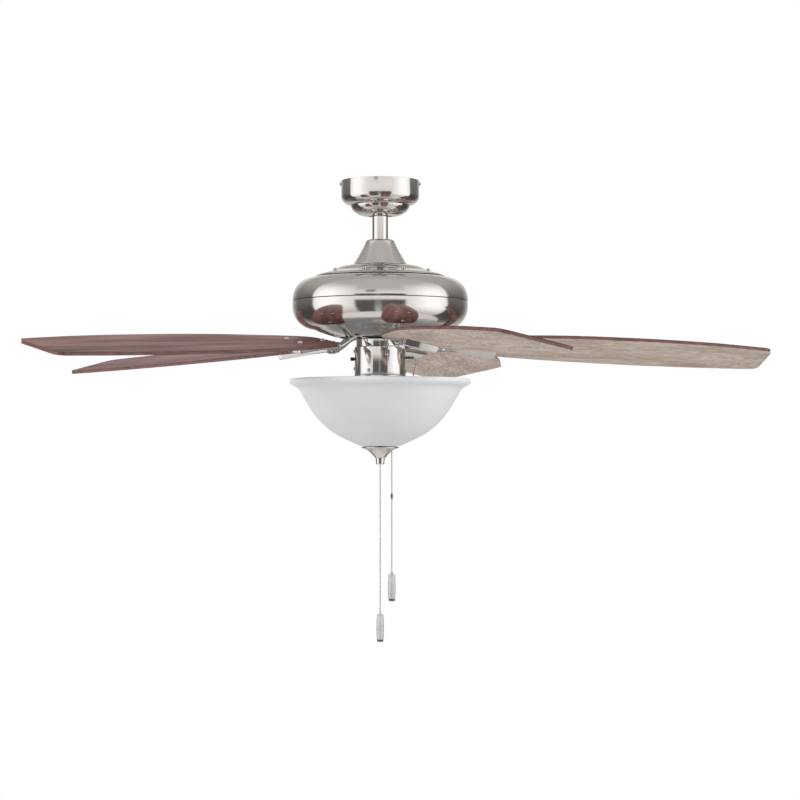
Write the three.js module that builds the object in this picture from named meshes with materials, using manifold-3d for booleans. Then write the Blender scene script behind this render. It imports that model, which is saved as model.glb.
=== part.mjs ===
// A five-blade ceiling fan with a bowl light, built the way it comes apart on a bench.
// Millimetres, +Z up. The origin is the middle of the hanger bracket's top face, in the plane of
// the ceiling, so everything hangs below z = 0. +X is to the right of someone who faces the fan.
import * as THREE from "three";
import { mergeVertices } from "three/addons/utils/BufferGeometryUtils.js";
import { ConvexGeometry } from "three/addons/geometries/ConvexGeometry.js";
import Module from "manifold-3d";

const wasm = await Module();
wasm.setup();

// ---- Driving dimensions ----------------------------------------------------------------------
const GAP = 0.3; // clearance kept between pieces that touch
const FINE = 28; // sides of the large turned shells
const MIDDLE = 16; // sides of the rod, the rotor and other middle-sized turned pieces
const COARSE = 10; // sides of small turned pieces
const CURVE_STEPS = 3; // straight steps in each rounded stretch of a profile

const BRACKET = { length: 125.2, width: 34, endWidth: 18, plate: 2.2, tabDrop: 10, legX: 38, leg: 3 };
const BRACKET_HOLES = { wireX: 23, wireRadius: 6.5, slotX: 44.5, slotLength: 10, slotWidth: 4.8 };
const CANOPY = { radius: 66, rim: -0.2, wall: -25, stepRadius: 52, step: -41, bottom: -60, hole: 20.5 };
const CANOPY_SHEET = 1.2;
const CANOPY_SCREW = { z: -5, headRadius: 3.6, faceRadius: 2.6, head: 2.2, shank: 1.8, reach: 6 };
const BALL = { radius: 22, z: -22.4, top: -10, bottom: -39.4 };
const CRADLE = { top: -35, bottom: -38.5, outer: 40.6, seatTop: 18.7, seatBottom: 17.1 };
const KEY = { width: 3, inner: 17.2, outer: 21, top: -31.5 }; // stops the ball turning in its cradle
const ROD = { radius: 13.35, bore: 11.35, top: -8.5, bottom: -134 };
const PIN = { radius: 3, ballZ: -16, ballLength: 36, adaptorZ: -124, adaptorLength: 44, hole: 60 };
const COVER = { top: -99.5, bottom: -142.3, topRadius: 24.4, bottomRadius: 45.8, hole: 14.2, sheet: 1 };
const ADAPTOR = { radius: 18.5, top: -111, bottom: -142.5 };
const SHAFT = { radius: 8, bore: 5, top: -137, bottom: -277 };
const CABLE_ROUTE = [
  [7, 0, -12], [7, 0, -60], [7, 0, -116], [4, 0, -128],
  [0.6, 0, -136], [0, 0, -146], [0, 0, -210], [0, 0, -279],
];

const HOUSING = { radius: 148.5, seamZ: -204.3, sheet: 1.4, mouth: 69.8, mouthZ: -266.3 };
const TOP_PLATE = { z: -143.3, tierRadius: 79, tierZ: -152.6, radius: 109.5, edgeZ: -162.5, bore: 8.6 };
const ROTOR = { radius: 78, wall: 3.5, top: -180, split: -220.6, boss: 66, bottom: -262 };
const BEARING = { inner: 8.3, outer: 17, height: 10, upperZ: -183.3, lowerZ: -248.7 };
const STATOR = {
  radius: 62, top: -206, bottom: -236, hub: 22, hubRise: 6, windingTop: 12, windingBottom: 8,
};

const COLLAR = { radius: 40.5, top: -264.6, bottom: -281.5, sheet: 1.6 };
const SWITCH_HOUSING = { radius: 43.5, top: -281.8, bottom: -330.2, sheet: 1.2 };
const REVERSE = { z: -302, slotBottom: -309.8, slotTop: -300.2, width: 3, knobOut: 50.5 };
const NOZZLE = { z: -299.7, radius: 2.2, flare: 3, tip: 56.3 };
const REVERSE_CASE = { x: [-39.9, -27], y: [-7, 7], z: [-313, -293] };
const PULL_CASE = { x: [20, 38], y: [-9, 9], z: [-315, -286] };
const CAPACITOR = { x: [-13, 13], y: [-38, -24], z: [-322, -290] };
const LIGHT_SWITCH = { radius: 12.5, top: -326, bottom: -351, neckRadius: 4, neckBottom: -357.2 };
const SHAFT_NUT = { radius: 13, height: 6 };
const ROD_NUT = { radius: 9, height: 5.5 };
const FITTER = { radius: 45.4, top: -330.5, sheet: 1.5, cup: 24, bottom: -372 };
const CENTER_ROD = { radius: 4.8, bore: 3, top: -361, bottom: -476 };
const LAMP = { z: -359, tilt: THREE.MathUtils.degToRad(8), offset: 2.2 };
const HOLDER = { radius: 16.5, socket: 12.9, length: 34, floor: 12 };
const BULB = { cap: 12.4, globe: 24, length: 92 };

const BOWL = { radius: 153.5, rimZ: -335.7, wall: 4, seatRadius: 34.5, seatZ: -449.3, hole: 14 };
const WASHER = { inner: 14, outer: 29.5, top: -449.9, height: 1.2 };
const CAP = { radius: 32.7, top: -451.4, neckRadius: 9, bottom: -469.2, sheet: 1, lip: 25, chainHole: 2.1 };
const KNOB = { top: -469.5, bottom: -480.7, topRadius: 8, bottomRadius: 7.1, exit: 2.2 };

const BLADES = 5;
const FIRST_BLADE = THREE.MathUtils.degToRad(2.2); // azimuth of the first blade, from +X towards +Y
const BLADE = { z: -271.8, pitch: THREE.MathUtils.degToRad(11.8), droop: 0.046, thickness: 5.5 };
const IRON = { foot: [44, 66], footWidth: 24, footThickness: 4, arm: 14, armHeight: 6, bevel: 5 };
const LEAF = [[104, 11, 7], [140, 18, 7.5], [190, 31, 10.5], [198, 29, 10.5]]; // out, half width, depth
const BOSS = { radius: 8, x: 94, z: -284 };

const CHAIN = { radius: 1.6, sides: 8, step: 8 };
const COUPLING = { radius: 2.2, endRadius: 1.7, height: 9 };
const FOB = { topRadius: 5.6, belly: 7.4, endRadius: 6, height: 46.6, cap: 4.2, ball: 2.2, ballRise: 1.6 };
const FAN_CHAIN = { x: 19.6, stubTop: -451.8, coupling: -534.5, fobTop: -666 };
const LIGHT_CHAIN = { x: 0, stubTop: -357.5, coupling: -600, fobTop: -735 };

// ---- Materials -------------------------------------------------------------------------------
const finish = (color, roughness, metalness) =>
  new THREE.MeshStandardMaterial({ color, roughness, metalness });
const nickel = finish(0xb8b4ae, 0.22, 1);
const steel = finish(0x8d8d90, 0.4, 1);
const castMetal = finish(0x4b4c50, 0.6, 0.8);
const copper = finish(0xa85e33, 0.45, 0.9);
const wood = finish(0x5d2f2a, 0.45, 0);
const frostedGlass = finish(0xdfe3e6, 0.55, 0);
const bulbGlass = finish(0xf4f1e6, 0.35, 0);
const blackPlastic = finish(0x17171a, 0.45, 0);
const whitePlastic = finish(0xe6e3da, 0.5, 0);
const rubber = finish(0x2a2a2b, 0.8, 0);

// ---- Solids ----------------------------------------------------------------------------------
function solid(geometry) {
  const bare = geometry.clone();
  bare.deleteAttribute("normal");
  bare.deleteAttribute("uv");
  const merged = mergeVertices(bare, 1e-3);
  const vertProperties = merged.attributes.position.array;
  const triVerts = new Uint32Array(merged.index.array);
  return new wasm.Manifold(new wasm.Mesh({ numProp: 3, vertProperties, triVerts }));
}

function fromSolid(made) {
  const mesh = made.getMesh();
  const geometry = new THREE.BufferGeometry();
  geometry.setAttribute("position", new THREE.BufferAttribute(mesh.vertProperties, 3));
  geometry.setIndex(new THREE.BufferAttribute(mesh.triVerts, 1));
  geometry.computeVertexNormals();
  return geometry;
}

function join(first, ...others) {
  return fromSolid(others.reduce((sum, other) => sum.add(solid(other)), solid(first)));
}

function cut(first, ...others) {
  return fromSolid(others.reduce((rest, other) => rest.subtract(solid(other)), solid(first)));
}

// Turns a profile of [radius, z] points round the Z axis. It closes on itself or ends on the axis.
function turn(profile, sides = COARSE) {
  const points = profile.map(([radius, z]) => new THREE.Vector2(radius, z));
  if (THREE.ShapeUtils.area(points) < 0) points.reverse();
  const onAxis = points[0].x === 0 && points.at(-1).x === 0;
  if (!onAxis) points.push(points[0].clone());
  return new THREE.LatheGeometry(points, sides).rotateX(Math.PI / 2);
}

// A path's points as [radius, z] pairs.
const profileOf = (path) => path.getPoints(CURVE_STEPS).map((point) => [point.x, point.y]);

// A sheet-metal shell: the outer profile, followed from its top, and the same line moved inwards.
function shell(outer, sheet) {
  const inward = (from, to) => new THREE.Vector2(to[1] - from[1], from[0] - to[0]).normalize();
  const last = outer.length - 1;
  const inner = outer.map((point, i) => {
    const first = i > 0 ? inward(outer[i - 1], point) : inward(point, outer[1]);
    const second = i < last ? inward(point, outer[i + 1]) : first;
    const middle = first.clone().add(second).normalize();
    const reach = sheet / Math.max(middle.dot(first), 0.5);
    return [point[0] + middle.x * reach, point[1] + middle.y * reach];
  });
  return [...outer, ...inner.reverse()];
}

function block(x0, x1, y0, y1, z0, z1) {
  const box = new THREE.BoxGeometry(x1 - x0, y1 - y0, z1 - z0);
  return box.translate((x0 + x1) / 2, (y0 + y1) / 2, (z0 + z1) / 2);
}

// A round bar from one point to another, wider at its end when endRadius says so.
function bar(from, to, radius, endRadius = radius, sides = COARSE) {
  const start = new THREE.Vector3(...from);
  const run = new THREE.Vector3(...to).sub(start);
  const up = new THREE.Vector3(0, 1, 0);
  const geometry = new THREE.CylinderGeometry(endRadius, radius, run.length(), sides);
  geometry.applyQuaternion(new THREE.Quaternion().setFromUnitVectors(up, run.clone().normalize()));
  return geometry.translate(...start.addScaledVector(run, 0.5).toArray());
}

// A plain tube of the chain's outside diameter along a list of points.
function chain(points) {
  const curve = new THREE.CatmullRomCurve3(points.map((point) => new THREE.Vector3(...point)));
  const section = new THREE.Shape();
  for (let i = 0; i < CHAIN.sides; i++) {
    const angle = (2 * Math.PI * i) / CHAIN.sides;
    const corner = [CHAIN.radius * Math.cos(angle), CHAIN.radius * Math.sin(angle)];
    i === 0 ? section.moveTo(...corner) : section.lineTo(...corner);
  }
  const steps = Math.max(2, Math.round(curve.getLength() / CHAIN.step));
  return new THREE.ExtrudeGeometry(section, { steps, bevelEnabled: false, extrudePath: curve });
}

const hanging = (x, top, bottom) => [
  [x, 0, top],
  [x, 0, (top + bottom) / 2],
  [x, 0, bottom],
];

// ---- Ceiling side ----------------------------------------------------------------------------
function hangerBracket() {
  const half = BRACKET.length / 2;
  const side = BRACKET.width / 2;
  const end = BRACKET.endWidth / 2;
  const shoulder = half - 10;
  const neck = half - 18;
  const outline = new THREE.Shape(
    [
      [-half, -end], [-shoulder, -end], [-neck, -side], [neck, -side], [shoulder, -end], [half, -end],
      [half, end], [shoulder, end], [neck, side], [-neck, side], [-shoulder, end], [-half, end],
    ].map(([x, y]) => new THREE.Vector2(x, y)),
  );
  const plate = new THREE.ExtrudeGeometry(outline, { depth: BRACKET.plate, bevelEnabled: false });
  plate.translate(0, 0, -BRACKET.plate);
  const pieces = [plate];
  const { wireX, wireRadius, slotX, slotLength, slotWidth } = BRACKET_HOLES;
  const below = -BRACKET.plate - 1;
  const holes = [bar([wireX, 0, below], [wireX, 0, 1], wireRadius)];
  for (const x of [-1, 1]) {
    const across = (near, far) => [near * x, far * x].sort((a, b) => a - b);
    const tab = across(half - BRACKET.plate, half);
    const leg = across(BRACKET.legX, BRACKET.legX + BRACKET.leg);
    const slot = across(slotX - slotLength / 2, slotX + slotLength / 2);
    pieces.push(block(...tab, -end, end, -BRACKET.tabDrop, -BRACKET.plate / 2));
    pieces.push(block(...leg, -end, end, CRADLE.bottom, -BRACKET.plate / 2));
    holes.push(block(...slot, -slotWidth / 2, slotWidth / 2, below, 1));
    const { z, shank } = CANOPY_SCREW;
    holes.push(bar([(half - CANOPY_SCREW.reach) * x, 0, z], [(half + 1) * x, 0, z], shank + GAP));
  }
  const { top, bottom, outer, seatTop, seatBottom } = CRADLE;
  pieces.push(turn([[seatTop, top], [outer, top], [outer, bottom], [seatBottom, bottom]], FINE));
  pieces.push(block(-KEY.width / 2, KEY.width / 2, KEY.inner, KEY.outer, bottom, KEY.top));
  return cut(join(...pieces), ...holes);
}

function canopy() {
  const { radius, rim, wall, stepRadius, step, bottom, hole } = CANOPY;
  const outer = new THREE.Path();
  outer.moveTo(radius, rim);
  outer.lineTo(radius, wall);
  outer.quadraticCurveTo(radius, step + 4, stepRadius, step);
  outer.lineTo(stepRadius - 2.2, step - 1.4);
  outer.quadraticCurveTo(stepRadius - 5, bottom + 6, 31.5, bottom + 1.2);
  outer.lineTo(hole, bottom);
  const { z, shank } = CANOPY_SCREW;
  const screwHoles = bar([-radius - 5, 0, z], [radius + 5, 0, z], shank + GAP);
  return cut(turn(shell(profileOf(outer), CANOPY_SHEET), FINE), screwHoles);
}

function canopyScrew(side) {
  const { z, headRadius, faceRadius, head, shank, reach } = CANOPY_SCREW;
  const start = (BRACKET.length / 2 - reach) * side;
  const seat = (CANOPY.radius + GAP) * side;
  const headShape = bar([seat, 0, z], [seat + head * side, 0, z], headRadius, faceRadius);
  return join(bar([start, 0, z], [seat + side, 0, z], shank), headShape);
}

// ---- Hanging rod -----------------------------------------------------------------------------
function hangerBall() {
  const arc = [];
  const steps = 8;
  for (let i = 0; i <= steps; i++) {
    const z = BALL.bottom + ((BALL.top - BALL.bottom) * i) / steps;
    arc.push([Math.sqrt(BALL.radius ** 2 - (z - BALL.z) ** 2), z]);
  }
  const bore = ROD.radius + GAP;
  const ball = turn([[bore, BALL.bottom], ...arc, [bore, BALL.top]], MIDDLE);
  const keyway = block(-KEY.width, KEY.width, KEY.inner - 0.9, BALL.radius + 1, BALL.bottom - 1, -26);
  return cut(ball, pinHole(PIN.ballZ), keyway);
}

const crossPin = (z, length) => bar([0, -length / 2, z], [0, length / 2, z], PIN.radius);
const pinHole = (z) => bar([0, -PIN.hole / 2, z], [0, PIN.hole / 2, z], PIN.radius + GAP);

function downrod() {
  const tube = turn(
    [[ROD.bore, ROD.top], [ROD.radius, ROD.top], [ROD.radius, ROD.bottom], [ROD.bore, ROD.bottom]],
    MIDDLE,
  );
  return cut(tube, pinHole(PIN.ballZ), pinHole(PIN.adaptorZ));
}

function couplingCover() {
  const outer = new THREE.Path();
  outer.moveTo(COVER.hole, COVER.top);
  outer.lineTo(COVER.topRadius - 5, COVER.top - 0.3);
  outer.quadraticCurveTo(COVER.topRadius - 1, COVER.top - 1, COVER.topRadius, COVER.top - 3.8);
  outer.quadraticCurveTo(27.2, -112.5, COVER.bottomRadius, COVER.bottom);
  return turn(shell(profileOf(outer), COVER.sheet), MIDDLE);
}

function motorAdaptor() {
  const wide = ROD.radius + GAP;
  const narrow = SHAFT.radius + GAP;
  const body = turn(
    [
      [wide, ADAPTOR.top], [ADAPTOR.radius, ADAPTOR.top], [ADAPTOR.radius, ADAPTOR.bottom],
      [narrow, ADAPTOR.bottom], [narrow, ROD.bottom - 1], [wide, ROD.bottom - 1],
    ],
    MIDDLE,
  );
  return cut(body, pinHole(PIN.adaptorZ));
}

// ---- Motor -----------------------------------------------------------------------------------
function ringProfile(inner, outer, top, bottom) {
  return [[inner, top], [outer, top], [outer, bottom], [inner, bottom]];
}

function bearing(top) {
  return turn(ringProfile(BEARING.inner, BEARING.outer, top, top - BEARING.height), MIDDLE);
}

function stator() {
  const { radius, top, bottom, hub, hubRise, windingTop, windingBottom } = STATOR;
  const core = [
    [BEARING.inner, top + hubRise], [hub, top + hubRise], [hub, top], [radius - 22, top],
    [radius - 20, top + windingTop], [radius - 6, top + windingTop], [radius - 4, top],
    [radius, top], [radius, bottom],
    [radius - 4, bottom], [radius - 6, bottom - windingBottom], [radius - 20, bottom - windingBottom],
    [radius - 22, bottom], [BEARING.inner, bottom],
  ];
  return turn(core, MIDDLE);
}

function rotorUpper() {
  const inner = ROTOR.radius - ROTOR.wall;
  const seat = BEARING.outer + GAP;
  return turn(
    [
      [10, ROTOR.top], [ROTOR.radius - 8, ROTOR.top], [ROTOR.radius, ROTOR.top - 8],
      [ROTOR.radius, ROTOR.split + 0.15], [inner, ROTOR.split + 0.15], [inner, ROTOR.top - 10],
      [inner - 7, ROTOR.top - 3], [21, ROTOR.top - 3], [21, BEARING.upperZ - BEARING.height],
      [seat, BEARING.upperZ - BEARING.height], [seat, BEARING.upperZ + GAP], [10, BEARING.upperZ + GAP],
    ],
    MIDDLE,
  );
}

function rotorLower() {
  const inner = ROTOR.radius - ROTOR.wall;
  const seat = BEARING.outer + GAP;
  const floor = BEARING.lowerZ - BEARING.height - GAP;
  return turn(
    [
      [inner, ROTOR.split - 0.15], [ROTOR.radius, ROTOR.split - 0.15], [ROTOR.radius, -246],
      [ROTOR.radius - 8, -254], [ROTOR.boss, -254], [ROTOR.boss, ROTOR.bottom], [10, ROTOR.bottom],
      [10, floor], [seat, floor], [seat, -247], [21, -247], [21, -251], [inner - 6, -251], [inner, -244.5],
    ],
    MIDDLE,
  );
}

// ---- Housings --------------------------------------------------------------------------------
function topPlate() {
  const outer = new THREE.Path();
  outer.moveTo(TOP_PLATE.bore, TOP_PLATE.z);
  outer.lineTo(52, TOP_PLATE.z - 0.5);
  outer.quadraticCurveTo(71, -145.2, TOP_PLATE.tierRadius, TOP_PLATE.tierZ);
  outer.lineTo(102, -158.5);
  outer.quadraticCurveTo(108, -160, TOP_PLATE.radius, TOP_PLATE.edgeZ);
  return turn(shell(profileOf(outer), HOUSING.sheet), FINE);
}

function upperHousing() {
  const outer = new THREE.Path();
  outer.moveTo(96, -164.3);
  outer.lineTo(112, -164.3);
  outer.quadraticCurveTo(145.5, -169, HOUSING.radius, -200);
  outer.lineTo(HOUSING.radius, HOUSING.seamZ + GAP / 2);
  return turn(shell(profileOf(outer), HOUSING.sheet), FINE);
}

function lowerHousing() {
  const outer = new THREE.Path();
  outer.moveTo(HOUSING.radius, HOUSING.seamZ - GAP / 2);
  outer.lineTo(HOUSING.radius, -212);
  outer.quadraticCurveTo(148.3, -239, 124, -249.3);
  outer.lineTo(110.5, -252.7);
  outer.quadraticCurveTo(101, -258, HOUSING.mouth, HOUSING.mouthZ);
  return turn(shell(profileOf(outer), HOUSING.sheet), FINE);
}

// ---- Switch housing and what it holds --------------------------------------------------------
function mountingCollar() {
  const { radius, top, bottom, sheet } = COLLAR;
  return turn(shell([[SHAFT.radius + GAP, top], [radius, top], [radius, bottom]], sheet), FINE);
}

// A hexagonal nut with a round bore.
function nut(bore, outer, top, height) {
  const blank = turn([[0, top], [outer, top], [outer, top - height], [0, top - height]], 6);
  return cut(blank, bar([0, 0, top + 1], [0, 0, top - height - 1], bore));
}

function shaftNut() {
  const top = COLLAR.top - COLLAR.sheet - GAP;
  return nut(SHAFT.radius + GAP, SHAFT_NUT.radius, top, SHAFT_NUT.height);
}

function switchHousing() {
  const { radius, top, bottom, sheet } = SWITCH_HOUSING;
  const wall = turn(shell([[37, top], [radius, top], [radius, bottom]], sheet), FINE);
  const slotSide = REVERSE.width / 2 + 0.4;
  const slot = block(-radius - 5, -radius + 5, -slotSide, slotSide, REVERSE.slotBottom, REVERSE.slotTop);
  const nozzleHole = bar([radius - 5, 0, NOZZLE.z], [radius + 5, 0, NOZZLE.z], NOZZLE.radius + GAP);
  return cut(wall, slot, nozzleHole);
}

// The knob stands at the upper end of its travel. Its neck runs in the housing's slot.
function reverseSwitchKnob() {
  const half = REVERSE.width / 2;
  const neck = block(-44.5, -40.2, -half, half, REVERSE.z - 1.5, REVERSE.z + 1.5);
  return join(neck, block(-REVERSE.knobOut, -43.9, -half - 1, half + 1, REVERSE.z - 3, REVERSE.z + 3));
}

const caseBlock = ({ x, y, z }) => block(...x, ...y, ...z);

function fanPullSwitch() {
  const body = caseBlock(PULL_CASE);
  const tube = bar([PULL_CASE.x[1] - 1, 0, NOZZLE.z], [NOZZLE.tip - 3, 0, NOZZLE.z], NOZZLE.radius);
  const mouth = bar([NOZZLE.tip - 4, 0, NOZZLE.z], [NOZZLE.tip, 0, NOZZLE.z], NOZZLE.radius, NOZZLE.flare);
  return join(body, tube, mouth);
}

function lightFitter() {
  const { radius, top, sheet, cup, bottom } = FITTER;
  const pan = turn(
    [
      [cup - sheet, top], [radius, top], [radius, top - 4], [radius - sheet, top - 4],
      [radius - sheet, top - sheet], [cup, top - sheet], [cup, bottom],
      [CENTER_ROD.radius + GAP, bottom], [CENTER_ROD.radius + GAP, bottom + sheet],
      [cup - sheet, bottom + sheet],
    ],
    FINE,
  );
  const leadHole = bar([0, -30, LAMP.z], [0, 30, LAMP.z], 4); // the lamp leads pass to both sides
  return cut(pan, leadHole);
}

function lightPullSwitch() {
  const { radius, top, bottom, neckRadius, neckBottom } = LIGHT_SWITCH;
  const neck = [[neckRadius, bottom - 0.5], [neckRadius, neckBottom], [0, neckBottom]];
  return turn([[0, top], [radius, top], [radius, bottom], ...neck]);
}

function rodNut() {
  const top = FITTER.bottom + FITTER.sheet + GAP + ROD_NUT.height;
  return nut(CENTER_ROD.radius + GAP, ROD_NUT.radius, top, ROD_NUT.height);
}

const centerRod = () =>
  turn(ringProfile(CENTER_ROD.bore, CENTER_ROD.radius, CENTER_ROD.top, CENTER_ROD.bottom), COARSE);

// Lamp holders and bulbs are made standing on their own axis, then laid out to one side.
function lampHolder() {
  const { radius, socket, length, floor } = HOLDER;
  const outside = [[0, 0], [radius - 4.5, 0], [radius, 5], [radius, length]];
  return turn([...outside, [socket, length], [socket, floor], [0, floor]], COARSE);
}

function bulb() {
  const { cap, globe, length } = BULB;
  const outline = new THREE.Path();
  outline.moveTo(0, HOLDER.floor + GAP);
  outline.lineTo(cap - 4.4, HOLDER.floor + GAP);
  outline.lineTo(cap, HOLDER.floor + 4);
  outline.lineTo(cap, HOLDER.length + 1);
  outline.bezierCurveTo(cap + 1.6, 46, globe, 52, globe, length - globe);
  outline.quadraticCurveTo(globe, length, 0, length);
  return turn(profileOf(outline), COARSE);
}

function lampPlace(side) {
  const place = new THREE.Group();
  place.position.set(0, side * (FITTER.cup + LAMP.offset), LAMP.z);
  place.rotation.x = -side * (Math.PI / 2 + LAMP.tilt);
  return place;
}

// ---- Glass and finial ------------------------------------------------------------------------
function glassBowl() {
  const outer = new THREE.Path();
  outer.moveTo(150.4, BOWL.rimZ);
  outer.quadraticCurveTo(BOWL.radius + 1, -337.5, BOWL.radius, -342.2);
  outer.quadraticCurveTo(151.2, -346, 144.4, -348.4);
  outer.lineTo(134.6, -358.2);
  outer.quadraticCurveTo(121.5, -382, 110.5, -397.2);
  outer.quadraticCurveTo(84, -430.5, BOWL.seatRadius, BOWL.seatZ);
  outer.lineTo(BOWL.hole, BOWL.seatZ - 0.2);
  return turn(shell(profileOf(outer), BOWL.wall), FINE);
}

const glassWasher = () =>
  turn(ringProfile(WASHER.inner, WASHER.outer, WASHER.top, WASHER.top - WASHER.height), MIDDLE);

function finialCap() {
  const outer = new THREE.Path();
  outer.moveTo(CAP.lip, CAP.top);
  outer.lineTo(CAP.radius, CAP.top);
  outer.lineTo(29.1, CAP.top - 2);
  outer.quadraticCurveTo(21, -456, 12.9, -464.4);
  outer.lineTo(CAP.neckRadius, CAP.bottom);
  outer.lineTo(CENTER_ROD.radius + GAP, CAP.bottom);
  const body = turn(shell(profileOf(outer), CAP.sheet), MIDDLE);
  return cut(body, bar([FAN_CHAIN.x, 0, CAP.bottom], [FAN_CHAIN.x, 0, CAP.top - 2], CAP.chainHole));
}

function finialKnob() {
  const thread = CENTER_ROD.radius + GAP;
  const exit = KNOB.exit;
  const floor = CENTER_ROD.bottom - GAP;
  return turn(
    [
      [thread, KNOB.top], [KNOB.topRadius, KNOB.top], [KNOB.bottomRadius, KNOB.bottom + 2.5],
      [KNOB.bottomRadius - 1.5, KNOB.bottom], [exit, KNOB.bottom], [exit, floor], [thread, floor],
    ],
    COARSE,
  );
}

// ---- Pull chains -----------------------------------------------------------------------------
// The fan switch's chain drops from its nozzle into the bowl and leaves through the finial cap.
const innerRoute = [
  [NOZZLE.tip + 0.6, 0, NOZZLE.z], [57.6, 0, NOZZLE.z], [59.3, 0, -301], [60.1, 0, -304.5],
  [59.8, 0, -312], [57.9, 0, -322],
  [55.4, 0, -333], [50.5, 0, -352], [43, 0, -375], [33.5, 0, -400], [23, 0, -422], [14.2, 0, -437],
  [10.3, 0, -446], [10.6, 0, -451], [13, 0, -454], [16.8, 0, -455.4],
];

// A coupling turns about its own middle, so its ends are domed to stay clear of the chain above it.
function couplingAt(z) {
  const half = COUPLING.height / 2;
  const { radius, endRadius } = COUPLING;
  const upper = [[0, half], [endRadius * 0.6, half - 0.2], [endRadius, half - 1], [radius, half - 2.5]];
  const lower = upper.map(([across, up]) => [across, -up]).reverse();
  return turn([...upper, ...lower].map(([across, up]) => [across, z + up]), COARSE);
}

// A barrel with a tapered end cap. It hangs by the small ball on its top, and rocks about it.
function fobAt(top) {
  const bottom = top - FOB.height;
  const capTop = bottom + FOB.cap;
  const ballZ = top + FOB.ballRise;
  const outline = new THREE.Path();
  outline.absarc(0, ballZ, FOB.ball, Math.PI / 2, -0.6, true);
  outline.lineTo(FOB.topRadius - 1.4, top);
  outline.lineTo(FOB.topRadius, top - 1.6);
  outline.quadraticCurveTo(FOB.belly, (top + capTop) / 2, FOB.endRadius, capTop);
  outline.lineTo(FOB.endRadius - 1, bottom + 0.6);
  outline.lineTo(FOB.endRadius - 2, bottom);
  outline.lineTo(0, bottom);
  const profile = profileOf(outline);
  profile[0][0] = 0;
  return turn(profile, MIDDLE);
}

const ends = ({ x, stubTop, coupling, fobTop }) => ({
  upper: chain(hanging(x, stubTop, coupling + COUPLING.height / 2 + GAP)),
  coupling: couplingAt(coupling).translate(x, 0, 0),
  lower: chain(hanging(x, coupling - COUPLING.height / 2 - GAP, fobTop + FOB.ballRise + FOB.ball + GAP)),
  fob: fobAt(fobTop).translate(x, 0, 0),
});

// The supply cable runs down inside the rod, past both cross pins, and through the hollow shaft.
const supplyCable = () => chain(CABLE_ROUTE);

// ---- Blades and their irons ------------------------------------------------------------------
// Blade frame: x runs out along the blade, y across it towards the trailing edge, z through it.
// The blade droops a little outwards, and its pitch puts the trailing edge below the leading edge.
const bladeFrame = new THREE.Matrix4()
  .makeRotationFromEuler(new THREE.Euler(-BLADE.pitch, BLADE.droop, 0, "ZYX"))
  .setPosition(0, 0, BLADE.z);

function blade() {
  const outline = new THREE.Shape();
  const through = (points) => outline.splineThru(points.map(([x, y]) => new THREE.Vector2(x, y)));
  outline.moveTo(112, -24);
  outline.quadraticCurveTo(105, 2, 107, 24);
  outline.quadraticCurveTo(109, 30, 127, 34);
  through([[162, 45], [204, 55], [300, 65], [420, 69], [540, 66], [642, 57.5]]);
  outline.quadraticCurveTo(655, 56, 655, 43);
  outline.lineTo(655, -54);
  outline.quadraticCurveTo(655, -64, 646, -66);
  through([[540, -83], [420, -88], [300, -82], [193, -62], [141, -49]]);
  outline.quadraticCurveTo(117, -42, 112, -24);
  const options = { depth: BLADE.thickness, bevelEnabled: false, curveSegments: 2 };
  const geometry = new THREE.ExtrudeGeometry(outline, options);
  return geometry.translate(0, 0, -BLADE.thickness / 2).applyMatrix4(bladeFrame);
}

// A flat-topped leaf with bevelled sides, wider at its square outer end, held under the blade.
function ironPlate() {
  const top = -BLADE.thickness / 2 - GAP;
  const points = [];
  const add = (x, y, z) => points.push(new THREE.Vector3(x, y, z));
  for (const [x, y, depth] of LEAF) {
    const inset = Math.max(y - IRON.bevel, 4);
    for (const side of [-1, 1]) {
      add(x, y * side, top);
      add(x, y * side, top - 2);
      add(x - 3, inset * side, top - depth);
    }
  }
  return new ConvexGeometry(points).applyMatrix4(bladeFrame);
}

function bladeIron() {
  const [inner, outer] = IRON.foot;
  const footTop = ROTOR.bottom - GAP;
  const halfFoot = IRON.footWidth / 2;
  const foot = block(inner, outer, -halfFoot, halfFoot, footTop - IRON.footThickness, footTop);
  const line = [[58, -265.4], [66, -268.6], [74, -275], [84, -281.5], [96, -284.5], [116, -285.2]];
  const middle = new THREE.SplineCurve(line.map(([x, z]) => new THREE.Vector2(x, z)));
  const places = middle.getPoints(8);
  const offset = (distance) =>
    places.map((point, i) => {
      const along = middle.getTangent(i / (places.length - 1));
      return new THREE.Vector2(point.x - along.y * distance, point.y + along.x * distance);
    });
  const lower = offset(-IRON.armHeight / 2);
  const profile = new THREE.Shape([...lower, ...offset(IRON.armHeight / 2).reverse()]);
  const arm = new THREE.ExtrudeGeometry(profile, { depth: IRON.arm, bevelEnabled: false });
  arm.rotateX(Math.PI / 2).translate(0, IRON.arm / 2, 0);
  const boss = new THREE.SphereGeometry(BOSS.radius, 10, 6).translate(BOSS.x, 0, BOSS.z);
  return join(foot, arm, boss, ironPlate());
}

// ---- Assembly --------------------------------------------------------------------------------
const fan = new THREE.Group();

function add(name, geometry, material, parent = fan) {
  const mesh = new THREE.Mesh(geometry, material);
  mesh.name = name;
  parent.add(mesh);
}

add("hanger_bracket", hangerBracket(), steel);
add("canopy", canopy(), nickel);
add("canopy_screw_left", canopyScrew(-1), nickel);
add("canopy_screw_right", canopyScrew(1), nickel);

add("hanger_ball", hangerBall(), blackPlastic);
add("ball_pin", crossPin(PIN.ballZ, PIN.ballLength), steel);
add("downrod", downrod(), nickel);
add("coupling_cover", couplingCover(), nickel);
add("motor_adaptor", motorAdaptor(), castMetal);
add("adaptor_pin", crossPin(PIN.adaptorZ, PIN.adaptorLength), steel);
add("supply_cable", supplyCable(), blackPlastic);

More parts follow.
